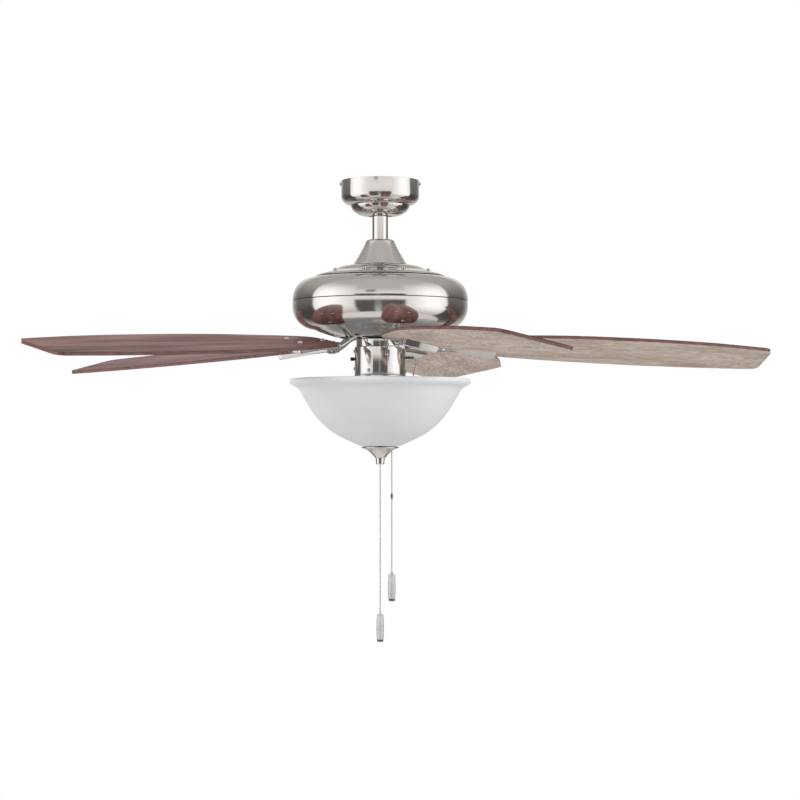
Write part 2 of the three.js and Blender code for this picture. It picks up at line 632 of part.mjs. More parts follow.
const shaftProfile = ringProfile(SHAFT.bore, SHAFT.radius, SHAFT.top, SHAFT.bottom);
add("stator_shaft", turn(shaftProfile, COARSE), steel);
add("upper_bearing", bearing(BEARING.upperZ), steel);
add("lower_bearing", bearing(BEARING.lowerZ), steel);
add("stator", stator(), copper);
add("rotor_upper", rotorUpper(), castMetal);
add("rotor_lower", rotorLower(), castMetal);

add("top_plate", topPlate(), nickel);
add("upper_housing", upperHousing(), nickel);
add("lower_housing", lowerHousing(), nickel);
add("mounting_collar", mountingCollar(), nickel);
add("shaft_nut", shaftNut(), steel);

add("switch_housing", switchHousing(), nickel);
add("reverse_switch_body", caseBlock(REVERSE_CASE), blackPlastic);
add("reverse_switch_knob", reverseSwitchKnob(), blackPlastic);
add("fan_pull_switch", fanPullSwitch(), blackPlastic);
add("capacitor", caseBlock(CAPACITOR), blackPlastic);
add("light_fitter", lightFitter(), nickel);
add("light_pull_switch", lightPullSwitch(), blackPlastic);
add("rod_nut", rodNut(), steel);
add("center_rod", centerRod(), steel);

for (const [i, side] of [-1, 1].entries()) {
  const place = lampPlace(side);
  add(`lamp_holder_${i + 1}`, lampHolder(), whitePlastic, place);
  add(`bulb_${i + 1}`, bulb(), bulbGlass, place);
  fan.add(place);
}

add("glass_bowl", glassBowl(), frostedGlass);
add("glass_washer", glassWasher(), rubber);
add("finial_cap", finialCap(), nickel);
add("finial_knob", finialKnob(), nickel);

add("fan_chain_inner", chain(innerRoute), nickel);
for (const [name, place] of [["fan", FAN_CHAIN], ["light", LIGHT_CHAIN]]) {
  const pieces = ends(place);
  add(`${name}_chain_upper`, pieces.upper, nickel);
  add(`${name}_chain_coupling`, pieces.coupling, nickel);
  add(`${name}_chain_lower`, pieces.lower, nickel);
  add(`${name}_fob`, pieces.fob, nickel);
}

for (let i = 0; i < BLADES; i++) {
  const spoke = new THREE.Group();
  spoke.rotation.z = FIRST_BLADE + (2 * Math.PI * i) / BLADES;
  add(`blade_iron_${i + 1}`, bladeIron(), nickel, spoke);
  add(`blade_${i + 1}`, blade(), wood, spoke);
  fan.add(spoke);
}

export default fan;
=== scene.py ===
"""Fine surfaces and materials for a five-blade ceiling fan with a bowl light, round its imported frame.

Sizes are in millimetres, as in the CAD source, and the mesh builders turn them into metres.
"""
from math import cos, degrees, pi, radians, sin, sqrt
from types import SimpleNamespace as Sizes

import bmesh
import bpy
from mathutils import Matrix, Vector


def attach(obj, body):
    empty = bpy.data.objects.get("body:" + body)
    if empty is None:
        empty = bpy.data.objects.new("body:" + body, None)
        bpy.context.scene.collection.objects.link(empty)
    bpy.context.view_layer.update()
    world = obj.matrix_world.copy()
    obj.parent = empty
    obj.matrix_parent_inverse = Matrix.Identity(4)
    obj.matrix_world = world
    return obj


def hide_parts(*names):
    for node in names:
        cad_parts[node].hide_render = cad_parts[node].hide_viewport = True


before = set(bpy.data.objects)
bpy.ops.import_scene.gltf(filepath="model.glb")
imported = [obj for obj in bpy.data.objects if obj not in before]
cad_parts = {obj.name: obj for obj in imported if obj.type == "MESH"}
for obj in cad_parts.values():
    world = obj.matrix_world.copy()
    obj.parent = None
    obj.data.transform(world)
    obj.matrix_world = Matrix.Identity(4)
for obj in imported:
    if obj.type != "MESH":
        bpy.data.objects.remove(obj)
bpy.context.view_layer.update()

# ---- Driving dimensions, the same as the CAD's ----------------------------------------------------
MM = 0.001
GAP = 0.3
FINE, MIDDLE, SMALL = 160, 96, 48  # sides of turned pieces
ON_AXIS = 1e-6  # a smaller radius counts as a point on the axis
SHARP = 32  # degrees: edges that bend more stay sharp

BRACKET = Sizes(
    length=125.2, width=34, end_width=18, ear=10, shoulder=18, plate=2.2, tab=10, leg_x=38, leg=3,
    wire_x=23, wire_hole=6.5, slot=(39.5, 49.5), slot_half=2.4,
)
CRADLE = Sizes(
    top=-35, bottom=-38.5, outer=40.6, seat_top=18.7, seat_bottom=17.1,
    key=1.5, key_reach=(17.2, 21), key_top=-31.5,
)
CANOPY = Sizes(
    radius=66, rim=-0.2, wall=-25, step_radius=52, step=-41, ledge=2.2, bottom=-60, hole=20.5, sheet=1.2,
)
CANOPY_SCREW = Sizes(z=-5, head=3.6, shank=1.8)
BALL = Sizes(radius=22, z=-22.4, top=-10, bottom=-39.4, slot=3, slot_in=16.3)
ROD = Sizes(radius=13.35, bore=11.35, top=-8.5, bottom=-134)
PIN = Sizes(radius=2.9, ball_z=-16, ball_length=36, adaptor_z=-124, adaptor_length=44, reach=30)
COVER = Sizes(
    top=-99.5, bottom=-142.3, top_radius=24.4, waist=(27.2, -112.5), bottom_radius=45.8, hole=14.2, sheet=1,
)
ADAPTOR = Sizes(radius=18.5, top=-111, bottom=-142.5)
SHAFT = Sizes(radius=8, bore=5, top=-137, bottom=-277)
HOUSING = Sizes(radius=148.5, lip=-164.3, seam=-204.3, sheet=1.4, mouth=69.8, mouth_z=-266.3)
TOP_PLATE = Sizes(
    z=-143.3, bore=8.6, tier_radius=79, tier_z=-152.6, radius=109.5, edge=-162.5, screws=8, screw_x=85,
)
ROTOR = Sizes(radius=78, wall=3.5, top=-180, split=-220.6, base=-254, boss=66, bottom=-262, hub=21, hole=10)
BEARING = Sizes(inner=8.3, outer=17, height=10, upper=-183.3, lower=-248.7)
STATOR = Sizes(radius=62, top=-206, bottom=-236)
COLLAR = Sizes(radius=40.5, top=-264.6, bottom=-281.5, sheet=1.6)
SWITCH_HOUSING = Sizes(radius=43.5, top=-281.8, bottom=-330.2, sheet=1.2)
HOUSING_SCREW_PLACES = [  # azimuth in degrees, height
    (-116, -322), (-76, -296), (178, -289), (176, -318.6), (-4, -323), (60, -322), (120, -296),
]
REVERSE = Sizes(z=-302, slot_bottom=-309.8, slot_top=-300.2, width=3, out=50.5)
NOZZLE = Sizes(z=-299.7, radius=2.2, flare=3, tip=56.3)
FITTER = Sizes(radius=45.4, top=-330.5, sheet=1.5, cup=24, bottom=-372)
CENTER_ROD = Sizes(radius=4.8, bore=3, top=-361, bottom=-476, pitch=1.6, depth=0.35)
LAMP = Sizes(z=-359, tilt=radians(8), offset=2.2)
HOLDER = Sizes(radius=16.5, socket=12.9, length=34, floor=12)
BULB = Sizes(cap=12.4, globe=24, length=92)
BOWL = Sizes(radius=153.5, rim=-335.7, wall=4, seat_radius=34.5, seat=-449.3, hole=14, sides=224)
WASHER = Sizes(inner=14, outer=29.5, top=-449.9, height=1.2)
CAP = Sizes(radius=32.7, top=-451.4, neck=9, bottom=-469.2, sheet=1, lip=25, chain_hole=2.1)
KNOB = Sizes(top=-469.5, bottom=-480.7, top_radius=8, bottom_radius=7.1, exit=2.2)

BLADES = 5
FIRST_BLADE = radians(2.2)
BLADE = Sizes(
    z=-271.8, pitch=radians(11.8), droop=0.046, thickness=5.5, screws=((182, -19), (182, 19), (122, 0)),
)
IRON = Sizes(foot=(44, 66), foot_width=24, foot_thickness=4, boss=((86, 0, -282), (110, 0, -285.6)))
LEAF = [(104, 11, 7), (140, 18, 7.5), (190, 31, 10.5), (201, 30, 10.5)]  # distance out, half width, depth
ARM = [  # distance out, each strand's distance from the middle, height
    (56, 7.5, -265), (66, 6.2, -268.6), (75, 4.6, -275.6), (84, 3.6, -281.4), (92, 3, -284),
]
LEAF_END = Sizes(x=201, bow=5, hollow=0.9, round=1.8, lean=2.6)

BEAD = Sizes(radius=1.6, pitch=4.23, link=0.5, link_start=1.3)
COUPLING = Sizes(height=9)
FOB = Sizes(top=5.6, belly=7.4, end=6, height=46.6, cap=4.2, ball=2.2, rise=1.6)
FAN_CHAIN = Sizes(x=19.6, stub=-451.8, coupling=-534.5, fob=-666)
LIGHT_CHAIN = Sizes(x=0, stub=-357.5, coupling=-600, fob=-735)

CABLE_RADIUS = 1.6
CABLE_ROUTE = [
    (7, 0, -12), (7, 0, -60), (7, 0, -116), (4, 0, -128),
    (0.6, 0, -136), (0, 0, -146), (0, 0, -210), (0, 0, -279),
]
INNER_ROUTE = [
    (56.9, 0, -299.7), (57.6, 0, -299.7), (59.3, 0, -301), (60.1, 0, -304.5),
    (59.8, 0, -312), (57.9, 0, -322), (55.4, 0, -333), (50.5, 0, -352),
    (43, 0, -375), (33.5, 0, -400), (23, 0, -422), (14.2, 0, -437),
    (10.3, 0, -446), (10.6, 0, -451), (13, 0, -454), (16.8, 0, -455.4),
]

# The camera stands level in front of the fan, at about the height of the bowl's lowest point. Its
# distance and its height are in metres.
CAMERA = Sizes(distance=3.644, height=-0.459, lens=96.74, sensor=36, shift_x=0.02475, shift_y=0.0646)
FLOOR = Sizes(drop=2.4, radius=2.2)  # metres: how far it is below the ceiling, and its radius
LIGHT_AIM = -0.3  # metres: the height that the lights look at


# ---- Outlines ------------------------------------------------------------------------------------
class Outline:
    """Points of a flat outline, drawn with straight and curved stretches."""

    def __init__(self, *points):
        self.points = [tuple(point) for point in points]

    def to(self, *points):
        self.points += [tuple(point) for point in points]
        return self

    def curve(self, control, end, steps=12):
        start = Vector(self.points[-1])
        control, end = Vector(control), Vector(end)
        for i in range(1, steps + 1):
            t = i / steps
            point = start * (1 - t) ** 2 + control * 2 * t * (1 - t) + end * t * t
            self.points.append(tuple(point))
        return self

    def through(self, points, steps=10):
        self.points += smooth_line([self.points[-1], *points], steps)[1:]
        return self


def smooth_line(points, steps):
    """A Catmull-Rom line through a list of points, flat or in space."""
    spots = [Vector(point) for point in points]
    spots = [spots[0], *spots, spots[-1]]
    line = []
    for a, b, c, d in zip(spots, spots[1:], spots[2:], spots[3:]):
        for i in range(steps):
            t = i / steps
            turn = (c - a) * t + (2 * a - 5 * b + 4 * c - d) * t * t + (3 * b - a - 3 * c + d) * t**3
            line.append(tuple(b + turn * 0.5))
    return [*line, tuple(spots[-1])]


def ring(inner, outer, top, bottom):
    return [(inner, top), (outer, top), (outer, bottom), (inner, bottom)]


def fillet(points, radius, closed=True, steps=4):
    """Rounds an outline's corners. Bends of under 25 degrees, as along a curve, stay as they are."""
    spots = [Vector(point) for point in points]
    rounded = []
    for i, spot in enumerate(spots):
        if not closed and i in (0, len(spots) - 1):
            rounded.append(tuple(spot))
            continue
        back = spots[i - 1] - spot
        ahead = spots[(i + 1) % len(spots)] - spot
        bend = pi - back.angle(ahead, pi)
        if bend < radians(25):
            rounded.append(tuple(spot))
            continue
        reach = min(radius, 0.45 * back.length, 0.45 * ahead.length)
        start, end = spot + back.normalized() * reach, spot + ahead.normalized() * reach
        for k in range(steps + 1):
            t = k / steps
            rounded.append(tuple(start * (1 - t) ** 2 + spot * 2 * t * (1 - t) + end * t * t))
    return rounded


def offset(points, distance, closed=False):
    """The same line moved to its right-hand side by a distance."""
    spots = [Vector(point) for point in points]
    last = len(spots) - 1
    moved = []
    for i, spot in enumerate(spots):
        before = spots[i - 1] if i > 0 or closed else None
        after = spots[(i + 1) % len(spots)] if i < last or closed else None
        sides = [(spot - before) if before else (after - spot), (after - spot) if after else (spot - before)]
        first, second = (Vector((side.y, -side.x)).normalized() for side in sides)
        middle = (first + second).normalized()
        moved.append(tuple(spot + middle * distance / max(middle.dot(first), 0.5)))
    return moved


def shell(outer, sheet):
    """A sheet-metal wall: the outer line, followed from its top, and the same line moved inwards."""
    return [*outer, *reversed(offset(outer, sheet))]


# ---- Mesh builders -------------------------------------------------------------------------------
def add_object(name, data):
    thing = bpy.data.objects.new(name, data)
    bpy.context.scene.collection.objects.link(thing)
    return thing


def smooth(data, sharp=SHARP):
    data.shade_smooth()
    data.set_sharp_from_angle(angle=radians(sharp))


def finished(name, mesh, sharp=SHARP):
    """An object from a mesh in millimetres, with smooth faces between its sharp edges."""
    bmesh.ops.recalc_face_normals(mesh, faces=mesh.faces)
    bmesh.ops.scale(mesh, vec=(MM, MM, MM), verts=mesh.verts)
    data = bpy.data.meshes.new(name)
    mesh.to_mesh(data)
    mesh.free()
    smooth(data, sharp)
    return add_object(name, data)


def add_turned(mesh, profile, sides, place=Matrix.Identity(4)):
    """Turns (radius, z) points round Z. The profile closes on itself, or both its ends are on the axis."""
    rings = []
    for radius, z in profile:
        if radius < ON_AXIS:
            rings.append([mesh.verts.new(place @ Vector((0, 0, z)))])
            continue
        angles = [2 * pi * i / sides for i in range(sides)]
        spots = [Vector((radius * cos(a), radius * sin(a), z)) for a in angles]
        rings.append([mesh.verts.new(place @ spot) for spot in spots])
    pairs = list(zip(rings, rings[1:]))
    if len(rings[0]) > 1 or len(rings[-1]) > 1:
        pairs.append((rings[-1], rings[0]))
    for upper, lower in pairs:
        for i in range(sides):
            j = (i + 1) % sides
            corners = [upper[i % len(upper)], upper[j % len(upper)]]
            corners += [lower[j % len(lower)], lower[i % len(lower)]]
            corners = list(dict.fromkeys(corners))
            if len(corners) > 2:
                mesh.faces.new(corners)


def turned(name, profile, sides, radius, place=Matrix.Identity(4)):
    """A turned piece with its profile's corners rounded."""
    on_axis = profile[0][0] < ON_AXIS and profile[-1][0] < ON_AXIS
    mesh = bmesh.new()
    add_turned(mesh, fillet(profile, radius, closed=not on_axis), sides, place)
    return finished(name, mesh)


def add_sweep(mesh, line, section, sides=16):
    """A closed bar along a line. section(i) gives half its width and half its height at point i."""
    spots = [Vector(point) for point in line]
    nearby = zip([spots[0], *spots], [*spots[1:], spots[-1]])
    tangents = [(after - before).normalized() for before, after in nearby]
    across = Vector((0, 1, 0)) - tangents[0] * tangents[0].y
    rings = []
    for i, (spot, tangent) in enumerate(zip(spots, tangents)):
        across = (across - tangent * across.dot(tangent)).normalized()
        upward = across.cross(tangent)
        wide, high = section(i)
        turn = [2 * pi * k / sides for k in range(sides)]
        offsets = [across * wide * cos(a) + upward * high * sin(a) for a in turn]
        rings.append([mesh.verts.new(spot + step) for step in offsets])
    for near, far in zip(rings, rings[1:]):
        for k in range(sides):
            mesh.faces.new([near[k], near[(k + 1) % sides], far[(k + 1) % sides], far[k]])
    mesh.faces.new(rings[0])
    mesh.faces.new(list(reversed(rings[-1])))


def add_slab(mesh, outline, bottom, top, edge, steps=3):
    """A flat slab between two heights, with its edges rounded, from an anticlockwise outline."""
    rings = []
    for end, side in ((bottom, 1), (top, -1)):
        arcs = [pi / 2 * k / steps for k in range(steps + 1)]
        for angle in arcs if side == 1 else reversed(arcs):
            inset = edge * (1 - sin(angle))
            height = end + side * edge * (1 - cos(angle))
            line = offset(outline, -inset, closed=True)
            rings.append([mesh.verts.new((x, y, height)) for x, y in line])
    for lower, upper in zip(rings, rings[1:]):
        for i in range(len(outline)):
            j = (i + 1) % len(outline)
            mesh.faces.new([lower[i], lower[j], upper[j], upper[i]])
    return [mesh.faces.new(list(reversed(rings[0]))), mesh.faces.new(rings[-1])]


def rectangle(x0, x1, y0, y1, corner):
    return fillet([(x0, y0), (x1, y0), (x1, y1), (x0, y1)], corner)


def add_box(mesh, x0, x1, y0, y1, z0, z1, edge):
    add_slab(mesh, rectangle(x0, x1, y0, y1, corner=2 * edge), z0, z1, edge)


def along(start, end):
    """A matrix that puts the Z axis at start, pointing to end."""
    start, run = Vector(start), Vector(end) - Vector(start)
    return Matrix.Translation(start) @ run.to_track_quat("Z", "Y").to_matrix().to_4x4()


def cut(piece, *cutters, crossing=False):
    """Cuts closed shapes out of a piece, and removes them. A crossing piece's own parts overlap."""
    for cutter in cutters:
        modifier = piece.modifiers.new("cut", "BOOLEAN")
        modifier.object = cutter
        modifier.solver = "EXACT"
        modifier.use_self = crossing
    evaluated = piece.evaluated_get(bpy.context.evaluated_depsgraph_get())
    data = bpy.data.meshes.new_from_object(evaluated)
    piece.modifiers.clear()
    piece.data = data
    smooth(data)
    for cutter in cutters:
        bpy.data.objects.remove(cutter)


def box_piece(x0, x1, y0, y1, z0, z1):
    mesh = bmesh.new()
    add_box(mesh, x0, x1, y0, y1, z0, z1, edge=0.2)
    return finished("cutter", mesh)


def rod_piece(start, end, radius):
    mesh = bmesh.new()
    length = (Vector(end) - Vector(start)).length
    add_turned(mesh, [(0, 0), (radius, 0), (radius, length), (0, length)], SMALL, along(start, end))
    return finished("cutter", mesh)


# ---- Node trees ----------------------------------------------------------------------------------
class Number:
    """A number in a node tree that can be added, multiplied and shaped like a plain number."""

    def __init__(self, tree, socket):
        self.tree, self.socket = tree, socket

    def math(self, operation, *others):
        node = self.tree.nodes.new("ShaderNodeMath")
        node.operation = operation
        for slot, value in zip(node.inputs, (self, *others)):
            connect(self.tree, value, slot)
        return Number(self.tree, node.outputs[0])

    def __add__(self, other):
        return self.math("ADD", other)

    def __sub__(self, other):
        return self.math("SUBTRACT", other)

    def __mul__(self, other):
        return self.math("MULTIPLY", other)

    def ramp(self, low, high, out_low=0.0, out_high=1.0):
        """Goes smoothly from out_low at low to out_high at high, and stays level outside."""
        node = self.tree.nodes.new("ShaderNodeMapRange")
        node.interpolation_type = "SMOOTHSTEP"
        for slot, value in zip(node.inputs, (self, low, high, out_low, out_high)):
            connect(self.tree, value, slot)
        return Number(self.tree, node.outputs[0])

    def band(self, low, high, soft):
        """1 between low and high and 0 outside, with soft edges."""
        return self.ramp(low - soft, low + soft) * self.ramp(high - soft, high + soft, 1.0, 0.0)


def connect(tree, value, slot):
    """Feeds a socket with a number, a colour or another node's output."""
    if isinstance(value, Number):
        tree.links.new(value.socket, slot)
    elif isinstance(value, bpy.types.NodeSocket):
        tree.links.new(value, slot)
    else:
        slot.default_value = value


def axes(tree, vector):
    """The x, y and z of a vector, as numbers."""
    split = tree.nodes.new("ShaderNodeSeparateXYZ")
    tree.links.new(vector, split.inputs[0])
    return [Number(tree, output) for output in split.outputs]


def blend_colors(tree, share, first, second):
    node = tree.nodes.new("ShaderNodeMix")
    node.data_type = "RGBA"
    connect(tree, share, node.inputs["Factor"])
    connect(tree, first, node.inputs["A"])
    connect(tree, second, node.inputs["B"])
    return node.outputs["Result"]


class Look:
    """A material under construction."""

    def __init__(self, name):
        self.material = bpy.data.materials.new(name)
        self.material.use_nodes = True
        self.tree = self.material.node_tree
        self.shader = self.tree.nodes["Principled BSDF"]

    def set(self, **sockets):
        """Sets the shader's sockets, whose names are given with underscores for spaces."""
        for socket, value in sockets.items():
            connect(self.tree, value, self.shader.inputs[socket.replace("_", " ")])

    def place(self, name=None):
        """The point in the shared frame, in metres, or a stored vector."""
        if name is None:
            return self.tree.nodes.new("ShaderNodeTexCoord").outputs["Object"]
        node = self.tree.nodes.new("ShaderNodeAttribute")
        node.attribute_name = name
        return node.outputs["Vector"]

    def scaled(self, vector, scale):
        node = self.tree.nodes.new("ShaderNodeVectorMath")
        node.operation = "MULTIPLY"
        self.tree.links.new(vector, node.inputs[0])
        node.inputs[1].default_value = scale
        return node.outputs[0]

    def spun(self):
        """A vector that is the same all round the Z axis, for tool marks on turned pieces."""
        x, y, z = axes(self.tree, self.place())
        join = self.tree.nodes.new("ShaderNodeCombineXYZ")
        connect(self.tree, (x * x + y * y).math("SQRT"), join.inputs[0])
        connect(self.tree, z, join.inputs[2])
        return join.outputs[0]

    def noise(self, scale, detail=3, vector=None, roughness=0.5, distortion=0):
        node = self.tree.nodes.new("ShaderNodeTexNoise")
        self.tree.links.new(vector or self.place(), node.inputs["Vector"])
        values = dict(Scale=scale, Detail=detail, Roughness=roughness, Distortion=distortion)
        for socket, value in values.items():
            node.inputs[socket].default_value = value
        return Number(self.tree, node.outputs["Fac"])

    def color_of(self, share, *stops):
        """A colour ramp: each stop is a place from 0 to 1 and a linear colour."""
        node = self.tree.nodes.new("ShaderNodeValToRGB")
        connect(self.tree, share, node.inputs["Fac"])
        ramp = node.color_ramp
        while len(ramp.elements) < len(stops):
            ramp.elements.new(0.5)
        for element, (spot, color) in zip(ramp.elements, stops):
            element.position = spot
            element.color = (*color, 1)
        return node.outputs["Color"]

    def tones(self, share, dark, light, low=0.3, high=0.7):
        """Colours the surface from dark to light as a share goes from low to high."""
        self.set(Base_Color=self.color_of(share, (low, dark), (high, light)))

    def bump(self, height, strength, distance):
        node = self.tree.nodes.new("ShaderNodeBump")
        connect(self.tree, height, node.inputs["Height"])
        node.inputs["Strength"].default_value = strength
        node.inputs["Distance"].default_value = distance
        self.tree.links.new(node.outputs["Normal"], self.shader.inputs["Normal"])


# ---- Materials -----------------------------------------------------------------------------------
NICKEL = (0.74, 0.715, 0.685, 1)
LOOKS = {}


def material(describe):
    """Makes a material with the name and the look of the function that describes it."""
    look = Look(describe.__name__)
    describe(look)
    LOOKS[describe.__name__] = look.material


@material
def turned_nickel(look):
    """Polished nickel plate with fine spinning marks round the axis."""
    marks = look.noise(1400, 2, look.spun())
    haze = look.noise(18, 4)
    look.set(Base_Color=NICKEL, Metallic=1, Roughness=marks * 0.05 + haze * 0.07 + 0.05)
    look.bump(marks, 0.04, 0.00005)


@material
def cast_nickel(look):
    """Nickel plate on a polished casting, a little uneven."""
    cloud = look.noise(60, 5)
    look.set(Base_Color=NICKEL, Metallic=1, Roughness=cloud * 0.08 + 0.05)
    look.bump(cloud, 0.05, 0.0003)


@material
def satin_nickel(look):
    """Brushed satin plate, lightly worn."""
    brushed = look.noise(1800, 3, look.scaled(look.place(), (1, 1, 0.06)))
    worn = look.noise(45, 4)
    look.tones(worn, (0.54, 0.53, 0.515), (0.63, 0.62, 0.6))
    look.set(Metallic=0.35, Roughness=brushed * 0.06 + worn * 0.08 + 0.38)
    look.bump(worn, 0.05, 0.0001)


@material
def bright_plate(look):
    """Barrel-plated nickel of the chains and the blade screws, whiter and duller than the castings."""
    dull = look.noise(260, 2)
    look.set(Base_Color=(0.64, 0.625, 0.605, 1), Metallic=0.7, Roughness=dull * 0.14 + 0.16)


@material
def dark_nickel(look):
    """Dark polished plate of the end caps, the fan chain's coupling and its nozzle."""
    cloud = look.noise(150)
    look.set(Base_Color=(0.2, 0.18, 0.17, 1), Metallic=1, Roughness=cloud * 0.15 + 0.12)


@material
def zinc_steel(look):
    """Zinc-plated sheet steel with faint spangle."""
    spangle = look.tree.nodes.new("ShaderNodeTexVoronoi")
    look.tree.links.new(look.place(), spangle.inputs["Vector"])
    spangle.inputs["Scale"].default_value = 140
    cloud = look.noise(70, 5)
    share = Number(look.tree, spangle.outputs["Color"]) * 0.4 + cloud * 0.6
    look.tones(share, (0.46, 0.46, 0.45), (0.66, 0.67, 0.68), low=0.25, high=0.75)
    look.set(Metallic=1, Roughness=share * 0.25 + 0.22)
    look.bump(cloud, 0.15, 0.0002)


@material
def cast_metal(look):
    """Rough die casting."""
    grit = look.noise(420, 4)
    cloud = look.noise(35, 4)
    look.tones(cloud, (0.2, 0.2, 0.21), (0.34, 0.34, 0.35))
    look.set(Metallic=1, Roughness=grit * 0.25 + 0.4)
    look.bump(grit, 0.5, 0.0003)


@material
def lamination(look):
    """Stacked laminations in the middle, and varnished copper turns above and below them."""
    height = axes(look.tree, look.place())[2]
    core = height.band(STATOR.bottom * MM - 0.0005, STATOR.top * MM + 0.0005, 0.0002)
    layers = look.noise(2400, 1, look.scaled(look.place(), (0.2, 0.2, 1)))
    turns = look.noise(900, 2, look.spun())
    steel = look.color_of(layers, (0.4, (0.08, 0.08, 0.09)), (0.6, (0.24, 0.24, 0.25)))
    copper = look.color_of(turns, (0.35, (0.32, 0.1, 0.03)), (0.65, (0.72, 0.3, 0.12)))
    color = blend_colors(look.tree, core, copper, steel)
    look.set(Base_Color=color, Metallic=1, Roughness=turns * 0.2 + 0.25)
    look.bump(turns + layers, 0.5, 0.0003)


@material
def black_plastic(look):
    """Moulded plastic with a fine grain, a little greyer in places."""
    grain = look.noise(900, 2)
    look.tones(look.noise(40), (0.009, 0.009, 0.011), (0.022, 0.022, 0.024))
    look.set(Roughness=grain * 0.2 + 0.3)
    look.bump(grain, 0.2, 0.0001)


@material
def white_ceramic(look):
    """Glazed white ceramic of the lamp holders and the light chain's coupling."""
    cloud = look.noise(55)
    look.tones(cloud, (0.72, 0.7, 0.65), (0.82, 0.8, 0.76))
    look.set(Roughness=cloud * 0.15 + 0.2, Coat_Weight=0.6, Coat_Roughness=0.08)


@material
def frosted_glass(look):
    """White acid-etched glass: light spreads in it, and its surface is evenly dull."""
    etch = look.noise(1500, 2)
    look.tones(look.noise(9), (0.71, 0.73, 0.757), (0.75, 0.77, 0.795))
    look.set(Subsurface_Weight=0.35, Subsurface_Scale=0.012, Subsurface_Radius=(1, 1, 1))
    look.set(Roughness=etch * 0.15 + 0.5, Coat_Weight=0.12, Coat_Roughness=0.45)
    look.bump(etch, 0.06, 0.0001)


@material
def bulb_glass(look):
    """Opal glass with a little dust."""
    dust = look.noise(90, 4)
    look.tones(dust, (0.84, 0.82, 0.77), (0.92, 0.9, 0.86))
    look.set(Subsurface_Weight=0.5, Subsurface_Scale=0.01)
    look.set(Roughness=dust * 0.1 + 0.25, Coat_Weight=0.5, Coat_Roughness=0.05)


@material
def rubber(look):
    """Dull black rubber of the washer and the cable."""
    grit = look.noise(700)
    look.tones(grit, (0.02, 0.02, 0.02), (0.05, 0.05, 0.048))
    look.set(Roughness=grit * 0.2 + 0.7)
    look.bump(grit, 0.4, 0.0003)


@material
def cherry_face(look):
    """The blade's upper face: dark cherry with long soft streaks and fine pores."""
    grain = look.place("grain")
    wave = look.noise(3.2, 4, look.scaled(grain, (1.2, 9, 1)), distortion=0.6)
    streaks = look.noise(7, 5, look.scaled(grain, (1, 26, 1)), distortion=0.35)
    pores = look.noise(22, 3, look.scaled(grain, (3, 90, 1)), roughness=0.65)
    share = wave * 0.5 + streaks * 0.35 + pores * 0.15
    dark, middle, light = (0.06, 0.022, 0.02), (0.16, 0.072, 0.066), (0.27, 0.14, 0.13)
    look.set(Base_Color=look.color_of(share, (0.38, dark), (0.5, middle), (0.62, light)))
    look.set(Roughness=pores * 0.25 + 0.38, Specular_IOR_Level=0.3)
    look.set(Coat_Weight=0.1, Coat_Roughness=0.3)
    look.bump(pores + streaks * 0.5, 0.18, 0.0003)


@material
def oak_face(look):
    """The blade's lower face: weathered oak, with wavy growth rings and dark open pores."""
    grain = look.place("grain")
    drift = look.noise(4, 3, look.scaled(grain, (1.4, 7, 1)), distortion=0.8)
    figure = look.noise(6, 3, look.scaled(grain, (1.1, 16, 1)), distortion=1.2)
    rings = (figure * 60).math("SINE") * 0.5 + 0.5
    fibres = look.noise(14, 5, look.scaled(grain, (1, 58, 1)), roughness=0.6)
    pores = look.noise(16, 3, look.scaled(grain, (3, 170, 1)), roughness=0.7)
    share = rings * 0.2 + fibres * 0.45 + drift * 0.35
    dark, middle, light = (0.34, 0.25, 0.2), (0.58, 0.465, 0.395), (0.8, 0.69, 0.61)
    wood = look.color_of(share, (0.37, dark), (0.5, middle), (0.63, light))
    color = blend_colors(look.tree, pores.ramp(0.54, 0.68) * 0.55, wood, (0.19, 0.135, 0.11, 1))
    look.set(Base_Color=color, Roughness=fibres * 0.2 + 0.5)
    look.bump(fibres + pores, 0.25, 0.0003)


@material
def blade_edge(look):
    """Red-brown edge banding with a satin varnish."""
    streaks = look.noise(20, 4, look.scaled(look.place("grain"), (2, 30, 12)))
    look.tones(streaks, (0.09, 0.036, 0.031), (0.2, 0.095, 0.085))
    look.set(Roughness=streaks * 0.2 + 0.35, Coat_Weight=0.35, Coat_Roughness=0.25)


# Slot names for the looks whose slot name would differ from the look's own; nothing reads this table.
PLATINGS = ("turned_nickel", "cast_nickel", "satin_nickel", "bright_plate", "dark_nickel")
SLOTS = {"white_ceramic": "white_plastic", **dict.fromkeys(PLATINGS, "nickel")}


def dress(piece, look, *nodes, body="suspended", slot=None):
    """Gives a piece its material or materials, its body and the CAD nodes that it stands for."""
    for name in [look] if isinstance(look, str) else look:
        piece.data.materials.append(LOOKS[name])
    if nodes:
        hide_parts(*nodes)
    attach(piece, body)


# ---- Camera --------------------------------------------------------------------------------------
def make_camera():
    data = bpy.data.cameras.new("camera")
    data.lens, data.sensor_width = CAMERA.lens, CAMERA.sensor
    data.shift_x, data.shift_y = CAMERA.shift_x, CAMERA.shift_y
    data.clip_end = 50
    camera = add_object("camera", data)
    camera.location = (0, -CAMERA.distance, CAMERA.height)
    camera.rotation_euler = (pi / 2, 0, 0)
    bpy.context.scene.camera = camera


make_camera()


